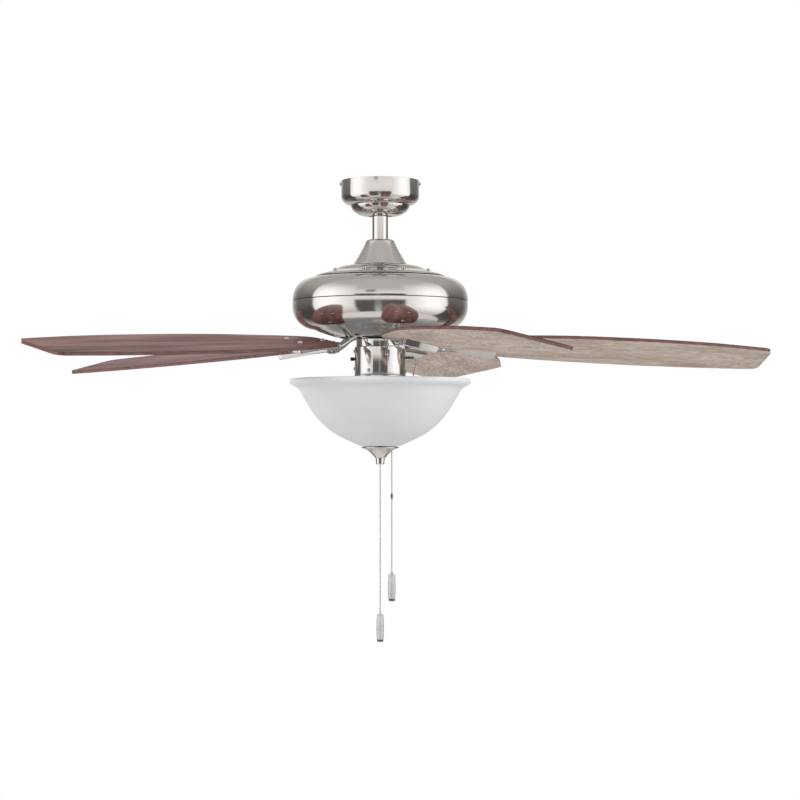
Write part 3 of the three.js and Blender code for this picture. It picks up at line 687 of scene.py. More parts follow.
# ---- Pull chains ---------------------------------------------------------------------------------
def bead_chain(name, line):
    """Beads along a line: each bead is a ball, and short links join them."""
    spots = [Vector(point) for point in line]
    length = sum((b - a).length for a, b in zip(spots, spots[1:]))
    count = round((length - 2 * BEAD.radius) / BEAD.pitch)
    pitch = (length - 2 * BEAD.radius) / count
    mesh = bmesh.new()
    beads = [at_length(spots, BEAD.radius + i * pitch) for i in range(count + 1)]
    for bead in beads:
        place = Matrix.Translation(bead)
        bmesh.ops.create_uvsphere(mesh, u_segments=14, v_segments=9, radius=BEAD.radius, matrix=place)
    for here, there in zip(beads, beads[1:]):
        near, far = BEAD.link_start, (there - here).length - BEAD.link_start
        link = [(0, near), (BEAD.link, near), (BEAD.link, far), (0, far)]
        add_turned(mesh, link, 8, along(here, there))
    return finished(name, mesh, sharp=60), length


def at_length(spots, distance):
    for a, b in zip(spots, spots[1:]):
        step = (b - a).length
        if distance <= step:
            return a.lerp(b, distance / step)
        distance -= step
    return spots[-1]


def straight(x, top, bottom, steps=12):
    return [(x, 0, top + (bottom - top) * i / steps) for i in range(steps + 1)]


def barrel_coupling(name, x, z):
    """A small barrel with a waist, where two chains meet."""
    half = COUPLING.height / 2
    profile = Outline((0, half), (0.9, half)).curve((1.9, half), (1.95, half - 1.4))
    profile.to((1.95, 0.5)).curve((1.7, 0), (1.95, -0.5)).to((1.95, 1.4 - half))
    profile.curve((1.9, -half), (0.9, -half)).to((0, -half))
    return turned(name, profile.points, 32, 0.15, Matrix.Translation((x, 0, z)))


def bell_coupling(name, x, z):
    """A small bell, narrow at its top and flared at its mouth."""
    half = COUPLING.height / 2
    profile = Outline((0, half), (0.8, half)).curve((1.5, half), (1.6, half - 1.2))
    profile.curve((1.5, 0.5), (1.9, -1.5)).curve((2.2, -2.6), (2.2, 0.9 - half))
    profile.curve((2.2, -half), (1.4, -half)).to((0, -half))
    return turned(name, profile.points, 32, 0.15, Matrix.Translation((x, 0, z)))


def fob(name, x, top):
    """A satin barrel that hangs from a small ball, with a thin ring at its foot."""
    bottom = top - FOB.height
    cap_top = bottom + FOB.cap
    ball = top + FOB.rise
    turns = [pi / 2 - i * 0.19 for i in range(1, 12)]
    profile = Outline((0, ball + FOB.ball))
    profile.to(*[(FOB.ball * cos(a), ball + FOB.ball * sin(a)) for a in turns])
    profile.to((FOB.top - 1.6, top)).curve((FOB.top, top), (FOB.top, top - 1.6))
    profile.curve((FOB.belly, (top + cap_top) / 2), (FOB.end, cap_top + 1.6), steps=24)
    groove, foot = FOB.end - 0.35, FOB.end + 0.1
    profile.to((groove, cap_top + 1.4), (groove, cap_top + 1), (foot, cap_top + 0.9))
    profile.to((foot, cap_top + 0.2), (0, cap_top + 0.2))
    return turned(name, profile.points, 64, 0.12, Matrix.Translation((x, 0, 0)))


def fob_end(name, x, top):
    """The dark tapered cap under a fob's barrel."""
    bottom = top - FOB.height
    cap_top = bottom + FOB.cap
    profile = [(0, cap_top), (FOB.end - 0.1, cap_top), (FOB.end - 1.3, bottom + 0.5), (0, bottom)]
    return turned(name, profile, 64, 0.5, Matrix.Translation((x, 0, 0)))


def hang_chain(name, place, coupling_maker, coupling_look):
    """Both stretches of a pull chain, its coupling and its fob, each on its own body."""
    x, middle, top = place.x, place.coupling, place.fob
    half = COUPLING.height / 2 + GAP
    upper_line = straight(x, place.stub, middle + half)
    lower_line = straight(x, middle - half, top + FOB.rise + FOB.ball + GAP)
    upper, upper_length = bead_chain(name + "_upper_beads", upper_line)
    lower, lower_length = bead_chain(name + "_lower_beads", lower_line)
    coupling = coupling_maker(name + "_coupling_piece", x, middle)
    handle = fob(name + "_fob_barrel", x, top)
    end = fob_end(name + "_fob_end", x, top)
    dress(upper, "bright_plate", name + "_chain_upper", body=name + "_pull")
    dress(lower, "bright_plate", name + "_chain_lower", body=name + "_swing")
    dress(coupling, coupling_look, name + "_chain_coupling", body=name + "_swing")
    dress(handle, "satin_nickel", name + "_fob", body=name + "_handle")
    dress(end, "dark_nickel", body=name + "_handle")
    for piece, line, length, fitting in (
        (upper, upper_line, upper_length, [coupling]),
        (lower, lower_line, lower_length, [handle, end]),
    ):
        length * MM


def inner_chain():
    line = smooth_line(INNER_ROUTE, 5)
    beads, length = bead_chain("fan_inner_beads", line)
    dress(beads, "bright_plate", "fan_chain_inner")


inner_chain()
hang_chain("fan", FAN_CHAIN, barrel_coupling, "dark_nickel")
hang_chain("light", LIGHT_CHAIN, bell_coupling, "white_ceramic")


# ---- Screws --------------------------------------------------------------------------------------
def screw_mesh(radius, height, shank=1.6, length=3.0):
    """A pan-head screw with a cross recess, its head up and its seat at z = 0."""
    mesh = bmesh.new()
    dome = Outline((0, height)).curve((radius * 0.75, height), (radius, 0.35 * height), steps=8)
    dome.to((radius, 0), (shank, 0), (shank, -length), (0, -length))
    add_turned(mesh, fillet(dome.points, 0.15, closed=False), SMALL)
    head = finished("screw", mesh)
    wide, deep, reach = radius * 0.13, height * 0.45, radius * 0.55
    bars = [
        box_piece(-reach, reach, -wide, wide, height - deep, height + 1),
        box_piece(-wide, wide, -reach, reach, height - deep, height + 1),
    ]
    cut(head, *bars)
    data = head.data
    bpy.data.objects.remove(head)
    return data


def add_screws(name, template, places):
    """One piece with a copy of a screw at each place, a matrix in millimetres."""
    mesh = bmesh.new()
    for place in places:
        copy = bmesh.new()
        copy.from_mesh(template)
        copy.transform(Matrix.Scale(1 / MM, 4))
        copy.transform(place)
        part = bpy.data.meshes.new("part")
        copy.to_mesh(part)
        copy.free()
        mesh.from_mesh(part)
        bpy.data.meshes.remove(part)
    return finished(name, mesh)


BLADE_SCREW = screw_mesh(4.6, 3.6)
PLATE_SCREW = screw_mesh(3.6, 3.2)
HOUSING_SCREW = screw_mesh(2.9, 2.2)
CANOPY_HEAD = screw_mesh(CANOPY_SCREW.head, 2.6, CANOPY_SCREW.shank, 9.0)


# ---- Ceiling side --------------------------------------------------------------------------------
def hanger_bracket():
    """A pressed plate with turned-down tabs, two legs and the ring that the ball sits in."""
    half, side, end = BRACKET.length / 2, BRACKET.width / 2, BRACKET.end_width / 2
    plate, low = BRACKET.plate, CRADLE.bottom
    quarter = [(half, end), (half - BRACKET.ear, end), (half - BRACKET.shoulder, side)]
    upper = quarter + [(-x, y) for x, y in reversed(quarter)]
    outline = fillet(upper + [(-x, -y) for x, y in upper], 2.5)
    mesh = bmesh.new()
    add_slab(mesh, outline, -plate, 0, 0.4)
    for x in (-1, 1):
        tab = sorted((x * (half - plate), x * half))
        leg = sorted((x * BRACKET.leg_x, x * (BRACKET.leg_x + BRACKET.leg)))
        add_box(mesh, *tab, -end, end, -BRACKET.tab, -plate / 2, 0.4)
        add_box(mesh, *leg, -end, end, low + 0.2, -plate / 2, 0.4)
    cradle = [(CRADLE.seat_top, CRADLE.top), (CRADLE.outer, CRADLE.top)]
    cradle += [(CRADLE.outer, low), (CRADLE.seat_bottom, low)]
    add_turned(mesh, fillet(cradle, 0.5), MIDDLE)
    add_box(mesh, -CRADLE.key, CRADLE.key, *CRADLE.key_reach, low + 0.3, CRADLE.key_top, 0.3)
    piece = finished("bracket_pressing", mesh)
    under, over, z = -plate - 2.8, 1, CANOPY_SCREW.z
    holes = [rod_piece((BRACKET.wire_x, 0, under), (BRACKET.wire_x, 0, over), BRACKET.wire_hole)]
    for x in (-1, 1):
        slot = sorted(x * end_x for end_x in BRACKET.slot)
        holes.append(box_piece(*slot, -BRACKET.slot_half, BRACKET.slot_half, under, over))
        holes.append(rod_piece((x * 56, 0, z), (x * CANOPY.radius, 0, z), CANOPY_SCREW.shank + GAP))
    cut(piece, *holes, crossing=True)
    dress(piece, "zinc_steel", "hanger_bracket", body="ceiling_side")


def spinning(name, node, outer, sheet, rounding, *cutters, body="suspended"):
    """A nickel-plated sheet-metal piece, from its outer line, with holes where cutters pass."""
    piece = turned(name, shell(outer, sheet), FINE, rounding)
    if cutters:
        cut(piece, *cutters)
    dress(piece, "turned_nickel", node, body=body)


def canopy():
    """A spun cup with a rounded wall, a step and a nearly flat bottom, and its two screws."""
    radius, step, low, z = CANOPY.radius, CANOPY.step, CANOPY.bottom, CANOPY_SCREW.z
    ledge = CANOPY.step_radius - CANOPY.ledge
    outer = Outline((radius, CANOPY.rim), (radius, CANOPY.wall))
    outer.curve((radius, step + 4), (CANOPY.step_radius, step), steps=20)
    outer.curve((ledge, step - 0.2), (ledge, step - 1.8), steps=4)
    outer.curve((CANOPY.step_radius - 5, low + 6), (31.5, low + 1.2), steps=20).to((CANOPY.hole, low))
    holes = rod_piece((-radius - 5, 0, z), (radius + 5, 0, z), CANOPY_SCREW.shank + GAP)
    spinning("canopy_cup", "canopy", outer.points, CANOPY.sheet, 0.5, holes, body="ceiling_side")
    for name, x in (("left", -1), ("right", 1)):
        seat = Vector((x * (radius + GAP), 0, z))
        place = along(seat, seat + Vector((x, 0, 0)))
        screw = add_screws(f"canopy_screw_{name}_fine", CANOPY_HEAD, [place])
        dress(screw, "cast_nickel", f"canopy_screw_{name}", body="ceiling_side")


# ---- Hanging rod ---------------------------------------------------------------------------------
def hanging_rod():
    """The ball with its slot, the rod, and the two pins that cross it."""
    steps = 24
    arc = []
    for i in range(steps + 1):
        z = BALL.bottom + (BALL.top - BALL.bottom) * i / steps
        arc.append((sqrt(BALL.radius ** 2 - (z - BALL.z) ** 2), z))
    bore = ROD.radius + GAP
    ball = turned("ball_moulding", [(bore, BALL.bottom), *arc, (bore, BALL.top)], MIDDLE, 0.4)
    upper_hole, lower_hole = (
        ((0, -PIN.reach, z), (0, PIN.reach, z), PIN.radius + 0.4) for z in (PIN.ball_z, PIN.adaptor_z)
    )
    slot = box_piece(-BALL.slot, BALL.slot, BALL.slot_in, PIN.reach, -50, -26)
    cut(ball, slot, rod_piece(*upper_hole))
    dress(ball, "black_plastic", "hanger_ball")

    tube = turned("downrod_tube", ring(ROD.bore, ROD.radius, ROD.top, ROD.bottom), MIDDLE, 0.4)
    cut(tube, rod_piece(*upper_hole), rod_piece(*lower_hole))
    dress(tube, "turned_nickel", "downrod")

    for name, z, length in (
        ("ball_pin", PIN.ball_z, PIN.ball_length),
        ("adaptor_pin", PIN.adaptor_z, PIN.adaptor_length),
    ):
        profile = [(0, 0), (PIN.radius, 0), (PIN.radius, length), (0, length)]
        place = along((0, -length / 2, z), (0, length / 2, z))
        dress(turned(name + "_fine", profile, 32, 0.6, place), "zinc_steel", name)


def coupling_cover():
    """A cone over the rod's lower end, with a rounded shoulder."""
    radius, top = COVER.top_radius, COVER.top
    outer = Outline((COVER.hole, top), (radius - 5, top - 0.3))
    outer.curve((radius - 1, top - 1), (radius, top - 3.8))
    outer.curve(COVER.waist, (COVER.bottom_radius, COVER.bottom), steps=24)
    spinning("coupling_cover_cone", "coupling_cover", outer.points, COVER.sheet, 0.4)


def motor_adaptor():
    """The casting that joins the rod to the motor's shaft."""
    wide, narrow, outer = ROD.radius + GAP, SHAFT.radius + GAP, ADAPTOR.radius
    floor = ROD.bottom - 1
    profile = [(wide, ADAPTOR.top), (outer, ADAPTOR.top), (outer, ADAPTOR.bottom)]
    profile += [(narrow, ADAPTOR.bottom), (narrow, floor), (wide, floor)]
    dress(turned("adaptor_casting", profile, MIDDLE, 0.6), "cast_metal", "motor_adaptor")


def supply_cable():
    mesh = bmesh.new()
    add_sweep(mesh, smooth_line(CABLE_ROUTE, 8), lambda i: (CABLE_RADIUS, CABLE_RADIUS))
    sheath = finished("supply_cable_sheath", mesh)
    dress(sheath, "rubber", "supply_cable", slot="black_plastic")


# ---- Motor ---------------------------------------------------------------------------------------
def shaft_and_bearings():
    tube = ring(SHAFT.bore, SHAFT.radius - 0.2, SHAFT.top, SHAFT.bottom)
    dress(turned("shaft_tube", tube, SMALL, 0.5), "zinc_steel", "stator_shaft")
    inner, outer = BEARING.inner, BEARING.outer
    race, groove = 3, 0.5  # width of each race, and depth of the shield between them
    for name, top in (("upper_bearing", BEARING.upper), ("lower_bearing", BEARING.lower)):
        low = top - BEARING.height
        profile = [(inner, top), (inner + race, top), (inner + race, top - groove)]
        profile += [(outer - race, top - groove), (outer - race, top), (outer, top), (outer, low)]
        profile += [(outer - race, low), (outer - race, low + groove), (inner + race, low + groove)]
        profile += [(inner + race, low), (inner, low)]
        dress(turned(name + "_fine", profile, MIDDLE, 0.3), "zinc_steel", name)


def stator():
    """The laminated core, with a bulge of windings above and below it."""
    r, top, low, inner = STATOR.radius, STATOR.top, STATOR.bottom, BEARING.inner
    core = Outline((inner, top + 6), (22, top + 6), (22, top), (r - 22, top))
    core.curve((r - 20, top + 13), (r - 13, top + 12)).curve((r - 6, top + 13), (r - 4, top))
    core.to((r, top), (r, low), (r - 4, low)).curve((r - 6, low - 9), (r - 13, low - 8))
    core.curve((r - 20, low - 9), (r - 22, low)).to((inner, low))
    dress(turned("stator_core", core.points, FINE, 0.5), "lamination", "stator")


def rotor():
    """Two castings round the stator, each with a seat for its bearing."""
    outer, wall, split = ROTOR.radius, ROTOR.radius - ROTOR.wall, ROTOR.split
    seat, top, base, hole = BEARING.outer + GAP, ROTOR.top, ROTOR.base, ROTOR.hole
    hub, joint, bevel = ROTOR.hub, GAP / 2, 8
    seat_end, seat_top = BEARING.upper - BEARING.height, BEARING.upper + GAP
    upper = [
        (hole, top), (outer - bevel, top), (outer, top - bevel), (outer, split + joint),
        (wall, split + joint), (wall, top - 10), (wall - 7, top - 3), (hub, top - 3), (hub, seat_end),
        (seat, seat_end), (seat, seat_top), (hole, seat_top),
    ]
    dress(turned("rotor_upper_casting", upper, FINE, 0.8), "cast_metal", "rotor_upper", body="rotor")
    seat_low = BEARING.lower - BEARING.height - GAP
    lower = [
        (wall, split - joint), (outer, split - joint), (outer, base + bevel), (outer - bevel, base),
        (ROTOR.boss, base), (ROTOR.boss, ROTOR.bottom), (hole, ROTOR.bottom), (hole, seat_low),
        (seat, seat_low), (seat, base + 7), (hub, base + 7), (hub, base + 3), (wall - 6, base + 3),
        (wall, base + 9.5),
    ]
    dress(turned("rotor_lower_casting", lower, FINE, 0.8), "cast_metal", "rotor_lower", body="rotor")


# ---- Housings ------------------------------------------------------------------------------------
def top_plate():
    """Two shallow tiers with a narrow ledge between them, and a rounded outer step."""
    z, tier, tier_z = TOP_PLATE.z, TOP_PLATE.tier_radius, TOP_PLATE.tier_z
    outer = Outline((TOP_PLATE.bore, z), (52, z - 0.5)).curve((71, z - 1.9), (tier - 1, tier_z + 1), steps=20)
    outer.curve((tier, tier_z), (tier + 2, tier_z - 0.6), steps=6).to((101, tier_z - 5.8))
    outer.curve((108, tier_z - 7.4), (TOP_PLATE.radius, TOP_PLATE.edge), steps=12)
    spinning("top_plate_spinning", "top_plate", outer.points, HOUSING.sheet, 0.4)
    seat = Matrix.Translation((TOP_PLATE.screw_x, 0, tier_z - 1.2)) @ Matrix.Rotation(radians(14), 4, "Y")
    turns = [radians(207 + 360 * i / TOP_PLATE.screws) for i in range(TOP_PLATE.screws)]
    places = [Matrix.Rotation(turn, 4, "Z") @ seat for turn in turns]
    dress(add_screws("top_plate_screws", PLATE_SCREW, places), "cast_nickel")


def motor_housing():
    """Two spun halves that meet at a seam: a rounded top, and a deeper underside with a step to its mouth."""
    radius, seam, lip = HOUSING.radius, HOUSING.seam, HOUSING.lip
    upper = Outline((96, lip), (111, lip)).curve((112.6, lip - 0.1), (114, lip - 0.6), steps=4)
    upper.curve((145.5, -169), (radius, -200), steps=40).to((radius, seam + 0.5))
    spinning("upper_housing_spinning", "upper_housing", upper.points, HOUSING.sheet, 0.35)
    lower = Outline((radius, seam - 0.5), (radius, -212)).curve((148.3, -239), (124, -249.3), steps=40)
    lower.to((110.5, -252.7)).curve((101, -258), (HOUSING.mouth, HOUSING.mouth_z), steps=16)
    spinning("lower_housing_spinning", "lower_housing", lower.points, HOUSING.sheet, 0.35)


# ---- Switch housing ------------------------------------------------------------------------------
def hex_nut(name, node, bore, outer, top, height):
    mesh = bmesh.new()
    corners = [(outer * cos(pi / 3 * i), outer * sin(pi / 3 * i)) for i in range(6)]
    add_slab(mesh, fillet(corners, 0.8), top - height, top, 0.7)
    piece = finished(name, mesh)
    cut(piece, rod_piece((0, 0, top + 1), (0, 0, top - height - 1), bore))
    dress(piece, "zinc_steel", node)


def collar():
    """The cup above the switch housing, and the nut in it that holds the shaft."""
    bore = SHAFT.radius + GAP
    outer = [(bore, COLLAR.top), (COLLAR.radius, COLLAR.top), (COLLAR.radius, COLLAR.bottom)]
    spinning("collar_cup", "mounting_collar", outer, COLLAR.sheet, 0.8)
    hex_nut("shaft_nut_fine", "shaft_nut", bore, 13, COLLAR.top - COLLAR.sheet - GAP, 6)


def switch_housing():
    """A plain cup with a slot for the reversing switch, a hole for the nozzle, and small screws."""
    radius, top, low = SWITCH_HOUSING.radius, SWITCH_HOUSING.top, SWITCH_HOUSING.bottom
    side, z = REVERSE.width / 2 + 0.4, NOZZLE.z
    spinning(
        "switch_housing_cup", "switch_housing", [(37, top), (radius, top), (radius, low)],
        SWITCH_HOUSING.sheet, 0.9,
        box_piece(-radius - 5, -radius + 5, -side, side, REVERSE.slot_bottom, REVERSE.slot_top),
        rod_piece((radius - 5, 0, z), (radius + 5, 0, z), NOZZLE.radius + GAP),
    )
    places = []
    for azimuth, height in HOUSING_SCREW_PLACES:
        outward = Vector((cos(radians(azimuth)), sin(radians(azimuth)), 0))
        seat = outward * radius + Vector((0, 0, height))
        places.append(along(seat, seat + outward))
    dress(add_screws("switch_housing_screws", HOUSING_SCREW, places), "cast_nickel")


def black_case(name, node, x0, x1, y0, y1, z0, z1, edge=0.8):
    mesh = bmesh.new()
    add_box(mesh, x0, x1, y0, y1, z0, z1, edge)
    dress(finished(name, mesh), "black_plastic", node)


def reverse_knob():
    """A slider on a stem, with three ridges for the finger."""
    half, z, out = REVERSE.width / 2, REVERSE.z, REVERSE.out
    mesh = bmesh.new()
    add_box(mesh, -44.5, -40.2, -half, half, z - 1.5, z + 1.5, 0.25)
    add_box(mesh, -out, -43.9, -half - 1, half + 1, z - 3, z + 3, 0.6)
    for i in range(3):
        ridge = z - 1.6 + 1.6 * i
        add_box(mesh, -out - 0.25, -out + 1, -half - 0.7, half + 0.7, ridge - 0.35, ridge + 0.35, 0.2)
    dress(finished("reverse_knob_cap", mesh), "black_plastic", "reverse_switch_knob", body="reverse_knob")


def nozzle():
    """The tube that the fan's chain comes out of, with a waist and a flared mouth."""
    start, radius, flare = 37, NOZZLE.radius, NOZZLE.flare
    reach = NOZZLE.tip - start
    tube = Outline((0, 0), (radius, 0), (radius, reach - 4.5), (radius - 0.5, reach - 4))
    tube.curve((2.3, reach - 1.6), (flare, reach - 0.8), steps=8)
    tube.to((flare, reach), (1.6, reach), (1.4, reach - 3), (0, reach - 3))
    place = along((start, 0, NOZZLE.z), (NOZZLE.tip, 0, NOZZLE.z))
    dress(turned("fan_switch_nozzle", tube.points, SMALL, 0.2, place), "dark_nickel")


def switches():
    """The reversing switch, the fan's switch with its nozzle, the capacitor and the light's switch."""
    black_case("reverse_switch_case", "reverse_switch_body", -39.9, -27, -7, 7, -313, -293)
    reverse_knob()
    black_case("fan_switch_case", "fan_pull_switch", 20, 38, -9, 9, -315, -286)
    nozzle()
    black_case("capacitor_case", "capacitor", -13, 13, -38, -24, -322, -290, edge=1.5)
    profile = [(0, -326), (12.2, -326), (12.2, -351), (4, -351.5), (4, -357.2), (0, -357.2)]
    case = turned("light_switch_case", profile, SMALL, 0.8)
    dress(case, "black_plastic", "light_pull_switch")


# ---- Light ---------------------------------------------------------------------------------------
def light_fitter():
    """A flat pan that the bowl hides, with a cup for the lamps, and the nut that holds the rod."""
    radius, top, sheet, lip = FITTER.radius, FITTER.top, FITTER.sheet, 4
    cup, low, bore = FITTER.cup, FITTER.bottom, CENTER_ROD.radius + GAP
    profile = [
        (cup - sheet, top), (radius, top), (radius, top - lip), (radius - sheet, top - lip),
        (radius - sheet, top - sheet), (cup, top - sheet), (cup, low),
        (bore, low), (bore, low + sheet), (cup - sheet, low + sheet),
    ]
    piece = turned("fitter_pan", profile, FINE, 0.6)
    cut(piece, rod_piece((0, -30, LAMP.z), (0, 30, LAMP.z), 4))
    dress(piece, "turned_nickel", "light_fitter")
    nut_height = 5.5
    hex_nut("rod_nut_fine", "rod_nut", bore, 9, low + sheet + GAP + nut_height, nut_height)


def center_rod():
    """A hollow rod with a rolled thread."""
    pitch, depth, end = CENTER_ROD.pitch, CENTER_ROD.depth, CENTER_ROD.radius - 0.5
    radius, bore, top, low = CENTER_ROD.radius, CENTER_ROD.bore, CENTER_ROD.top, CENTER_ROD.bottom
    thread = [(bore, top), (end, top)]
    for i in range(int((top - low - 2) / pitch)):
        crest = top - 1 - i * pitch
        thread += [(radius - depth, crest), (radius, crest - pitch / 2)]
    thread += [(end, low), (bore, low)]
    mesh = bmesh.new()
    add_turned(mesh, thread, SMALL)
    dress(finished("center_rod_thread", mesh), "zinc_steel", "center_rod")


def lamp_place(side):
    turn = Matrix.Rotation(-side * (pi / 2 + LAMP.tilt), 4, "X")
    return Matrix.Translation((0, side * (FITTER.cup + LAMP.offset), LAMP.z)) @ turn


def holder_profile():
    """A ceramic socket with three ribs, open at its outer end."""
    radius, socket, length, floor = HOLDER.radius, HOLDER.socket, HOLDER.length, HOLDER.floor
    wall = radius - 0.6
    holder = Outline((0, 0), (radius - 4.5, 0)).curve((radius - 1, 0.5), (wall, 5), steps=8)
    for i in range(3):
        rise = 9 + 4.5 * i
        holder.to((wall, rise)).curve((radius + 0.2, rise + 1), (wall, rise + 2), steps=6)
    holder.to((wall, length - 4), (radius, length - 3), (radius, length))
    return holder.to((socket, length), (socket, floor), (0, floor)).points


def bulb_profile():
    """A screw cap, a neck that widens, and a round globe."""
    cap, globe, tall, floor = BULB.cap, BULB.globe, BULB.length, HOLDER.floor
    thread, middle = cap - 0.2, tall - globe
    bulb = Outline((0, floor + GAP), (cap - 4.4, floor + GAP), (thread, floor + 4))
    for i in range(5):
        rise = floor + 4.5 + 3.2 * i
        bulb.to((cap - 0.9, rise), (thread, rise + 1.6))
    bulb.to((cap, HOLDER.length + 1)).curve((cap + 0.3, 44), (cap + 6, 52), steps=10)
    bulb.curve((globe - 0.6, 58), (globe, middle), steps=12)
    angles = [pi / 2 * i / 12 for i in range(1, 12)]
    bulb.to(*[(globe * cos(angle), middle + globe * sin(angle)) for angle in angles])
    return bulb.to((0, tall)).points


def lamps():
    for number, side in ((1, -1), (2, 1)):
        place = lamp_place(side)
        holder = turned(f"lamp_holder_{number}_fine", holder_profile(), MIDDLE, 0.5, place)
        dress(holder, "white_ceramic", f"lamp_holder_{number}")
        bulb = turned(f"bulb_{number}_fine", bulb_profile(), MIDDLE, 0.3, place)
        dress(bulb, "bulb_glass", f"bulb_{number}")


def glass_bowl():
    """A bell-mouthed bowl: a rolled lip, a hollow under it, a ridge, and a deep rounded body."""
    radius, seat = BOWL.radius, BOWL.seat
    outer = Outline((radius - 3.1, BOWL.rim)).curve((radius + 1, -337.5), (radius, -342.2), steps=10)
    outer.curve((radius - 2.3, -346), (144.4, -348.4), steps=10)
    outer.curve((138.6, -351), (134.6, -358.2), steps=12)
    outer.through([(126.8, -372.4), (109.2, -399), (80, -426.5), (BOWL.seat_radius, seat)], steps=16)
    outer.to((BOWL.hole, seat - 0.2))
    bowl = turned("bowl_glass", shell(outer.points, BOWL.wall), BOWL.sides, 1.2)
    dress(bowl, "frosted_glass", "glass_bowl")
    washer = ring(WASHER.inner, WASHER.outer, WASHER.top, WASHER.top - WASHER.height)
    piece = turned("bowl_washer", washer, MIDDLE, 0.4)
    dress(piece, "rubber", "glass_washer", slot="seal_rubber")


def finial():
    """A cap under the bowl that narrows to a neck, and the knob that holds it."""
    top, low, radius, thread = CAP.top, CAP.bottom, CAP.radius, CENTER_ROD.radius + GAP
    outer = Outline((CAP.lip, top), (radius, top)).curve((radius + 0.2, top - 1.6), (30.4, top - 1.9))
    outer.curve((29.2, top - 2), (28, top - 2.8), steps=4).curve((20.5, -456.6), (12.9, -464.4), steps=20)
    outer.curve((11.2, -466.2), (10.6, -467.2), steps=6).to((CAP.neck, low), (thread, low))
    hole = rod_piece((FAN_CHAIN.x, 0, low), (FAN_CHAIN.x, 0, top - 2), CAP.chain_hole)
    spinning("finial_cap_spinning", "finial_cap", outer.points, CAP.sheet, 0.3, hole)
    top, low, upper, lower = KNOB.top, KNOB.bottom, KNOB.top_radius, KNOB.bottom_radius
    knob = Outline((thread, top), (upper - 0.6, top)).curve((upper, top), (upper, top - 1), steps=5)
    knob.curve((7.4, -472.5), (lower, low + 2.4), steps=8).curve((6.9, low), (lower - 2, low), steps=8)
    floor = CENTER_ROD.bottom - GAP
    knob.to((KNOB.exit, low), (KNOB.exit, floor), (thread, floor))
    dress(turned("finial_knob_fine", knob.points, MIDDLE, 0.25), "turned_nickel", "finial_knob")


# ---- Blades --------------------------------------------------------------------------------------
BLADE_FRAME = (
    Matrix.Translation((0, 0, BLADE.z))
    @ Matrix.Rotation(BLADE.droop, 4, "Y")
    @ Matrix.Rotation(-BLADE.pitch, 4, "X")
)


def blade_outline():
    """Out along the trailing edge, across the tip and back along the leading edge."""
    line = Outline((112, -24)).curve((105, 2), (107, 24)).curve((109, 30), (127, 34), steps=8)
    line.through([(162, 45), (204, 55), (300, 65), (420, 69), (540, 66), (638, 58)])
    line.curve((655, 56), (655, 38), steps=10).to((655, -47)).curve((655, -64.5), (641, -67), steps=10)
    line.through([(540, -83), (420, -88), (300, -82), (193, -62), (141, -49)])
    line.curve((117, -42), (112, -24), steps=10)
    return line.points[:-1]


def blade(i, spoke):
    """A flat blade with rounded edges: cherry above, oak below and banding round the edge."""
    half = BLADE.thickness / 2
    mesh = bmesh.new()
    faces = add_slab(mesh, blade_outline(), -half, half, edge=1.1)
    for face in mesh.faces:
        face.material_index = 2
    faces[0].material_index = 1
    faces[1].material_index = 0
    grain = mesh.verts.layers.float_vector.new("grain")
    for vertex in mesh.verts:
        vertex[grain] = vertex.co * MM + Vector((0, 0, 3.7 * i))
    bmesh.ops.transform(mesh, matrix=spoke @ BLADE_FRAME, verts=mesh.verts)
    piece = finished(f"blade_{i + 1}_board", mesh, sharp=40)
    looks = ["cherry_face", "oak_face", "blade_edge"]
    dress(piece, looks, f"blade_{i + 1}", slot="blade_wood", body="rotor")
    places = [spoke @ (BLADE_FRAME @ Matrix.Translation((*spot, half))) for spot in BLADE.screws]
    dress(add_screws(f"blade_{i + 1}_screws", BLADE_SCREW, places), "bright_plate", body="rotor")


def add_leaf(mesh, place):
    """The iron's plate: a shallow tray under the blade, with rounded lower edges and a bowed outer end."""
    top = -BLADE.thickness / 2 - GAP
    edges = (0, 0.004, 0.015, 0.035, 0.06, 0.1, 0.17, 0.26, 0.36, 0.5)
    shares = [*edges, *(1 - share for share in reversed(edges[:-1]))]
    rows = []
    for along_share in shares:
        row = []
        for across_share in shares:
            v = 2 * across_share - 1
            end = LEAF_END.x - LEAF_END.bow * v * v
            x = LEAF[0][0] + (end - LEAF[0][0]) * along_share
            wide, deep = leaf_size(x)
            hollow = LEAF_END.hollow * max(0.0, 1 - (v / 0.8) ** 2)
            rounding = edge_drop(end - x) + edge_drop((1 - abs(v)) * wide)
            row.append((x, v * wide, top - deep + hollow + rounding, x - LEAF_END.lean * along_share))
        rows.append(row)
    last = len(shares) - 1
    lower = [[mesh.verts.new(place @ Vector((low_x, y, z))) for _, y, z, low_x in row] for row in rows]
    upper = [[mesh.verts.new(place @ Vector((x, y, top))) for x, y, _, _ in row] for row in rows]
    for i in range(last):
        for k in range(last):
            mesh.faces.new([lower[i][k], lower[i + 1][k], lower[i + 1][k + 1], lower[i][k + 1]])
            mesh.faces.new([upper[i][k], upper[i][k + 1], upper[i + 1][k + 1], upper[i + 1][k]])
        mesh.faces.new([lower[i][0], upper[i][0], upper[i + 1][0], lower[i + 1][0]])
        mesh.faces.new([lower[i][last], lower[i + 1][last], upper[i + 1][last], upper[i][last]])
    for k in range(last):
        mesh.faces.new([lower[0][k], lower[0][k + 1], upper[0][k + 1], upper[0][k]])
        mesh.faces.new([lower[-1][k], upper[-1][k], upper[-1][k + 1], lower[-1][k + 1]])


def leaf_size(x):
    """The leaf's half width and depth at a distance from the fan's axis."""
    for (x0, *first), (x1, *second) in zip(LEAF, LEAF[1:]):
        if x <= x1:
            share = (x - x0) / (x1 - x0)
            return [a + (b - a) * share for a, b in zip(first, second)]
    return LEAF[-1][1:]


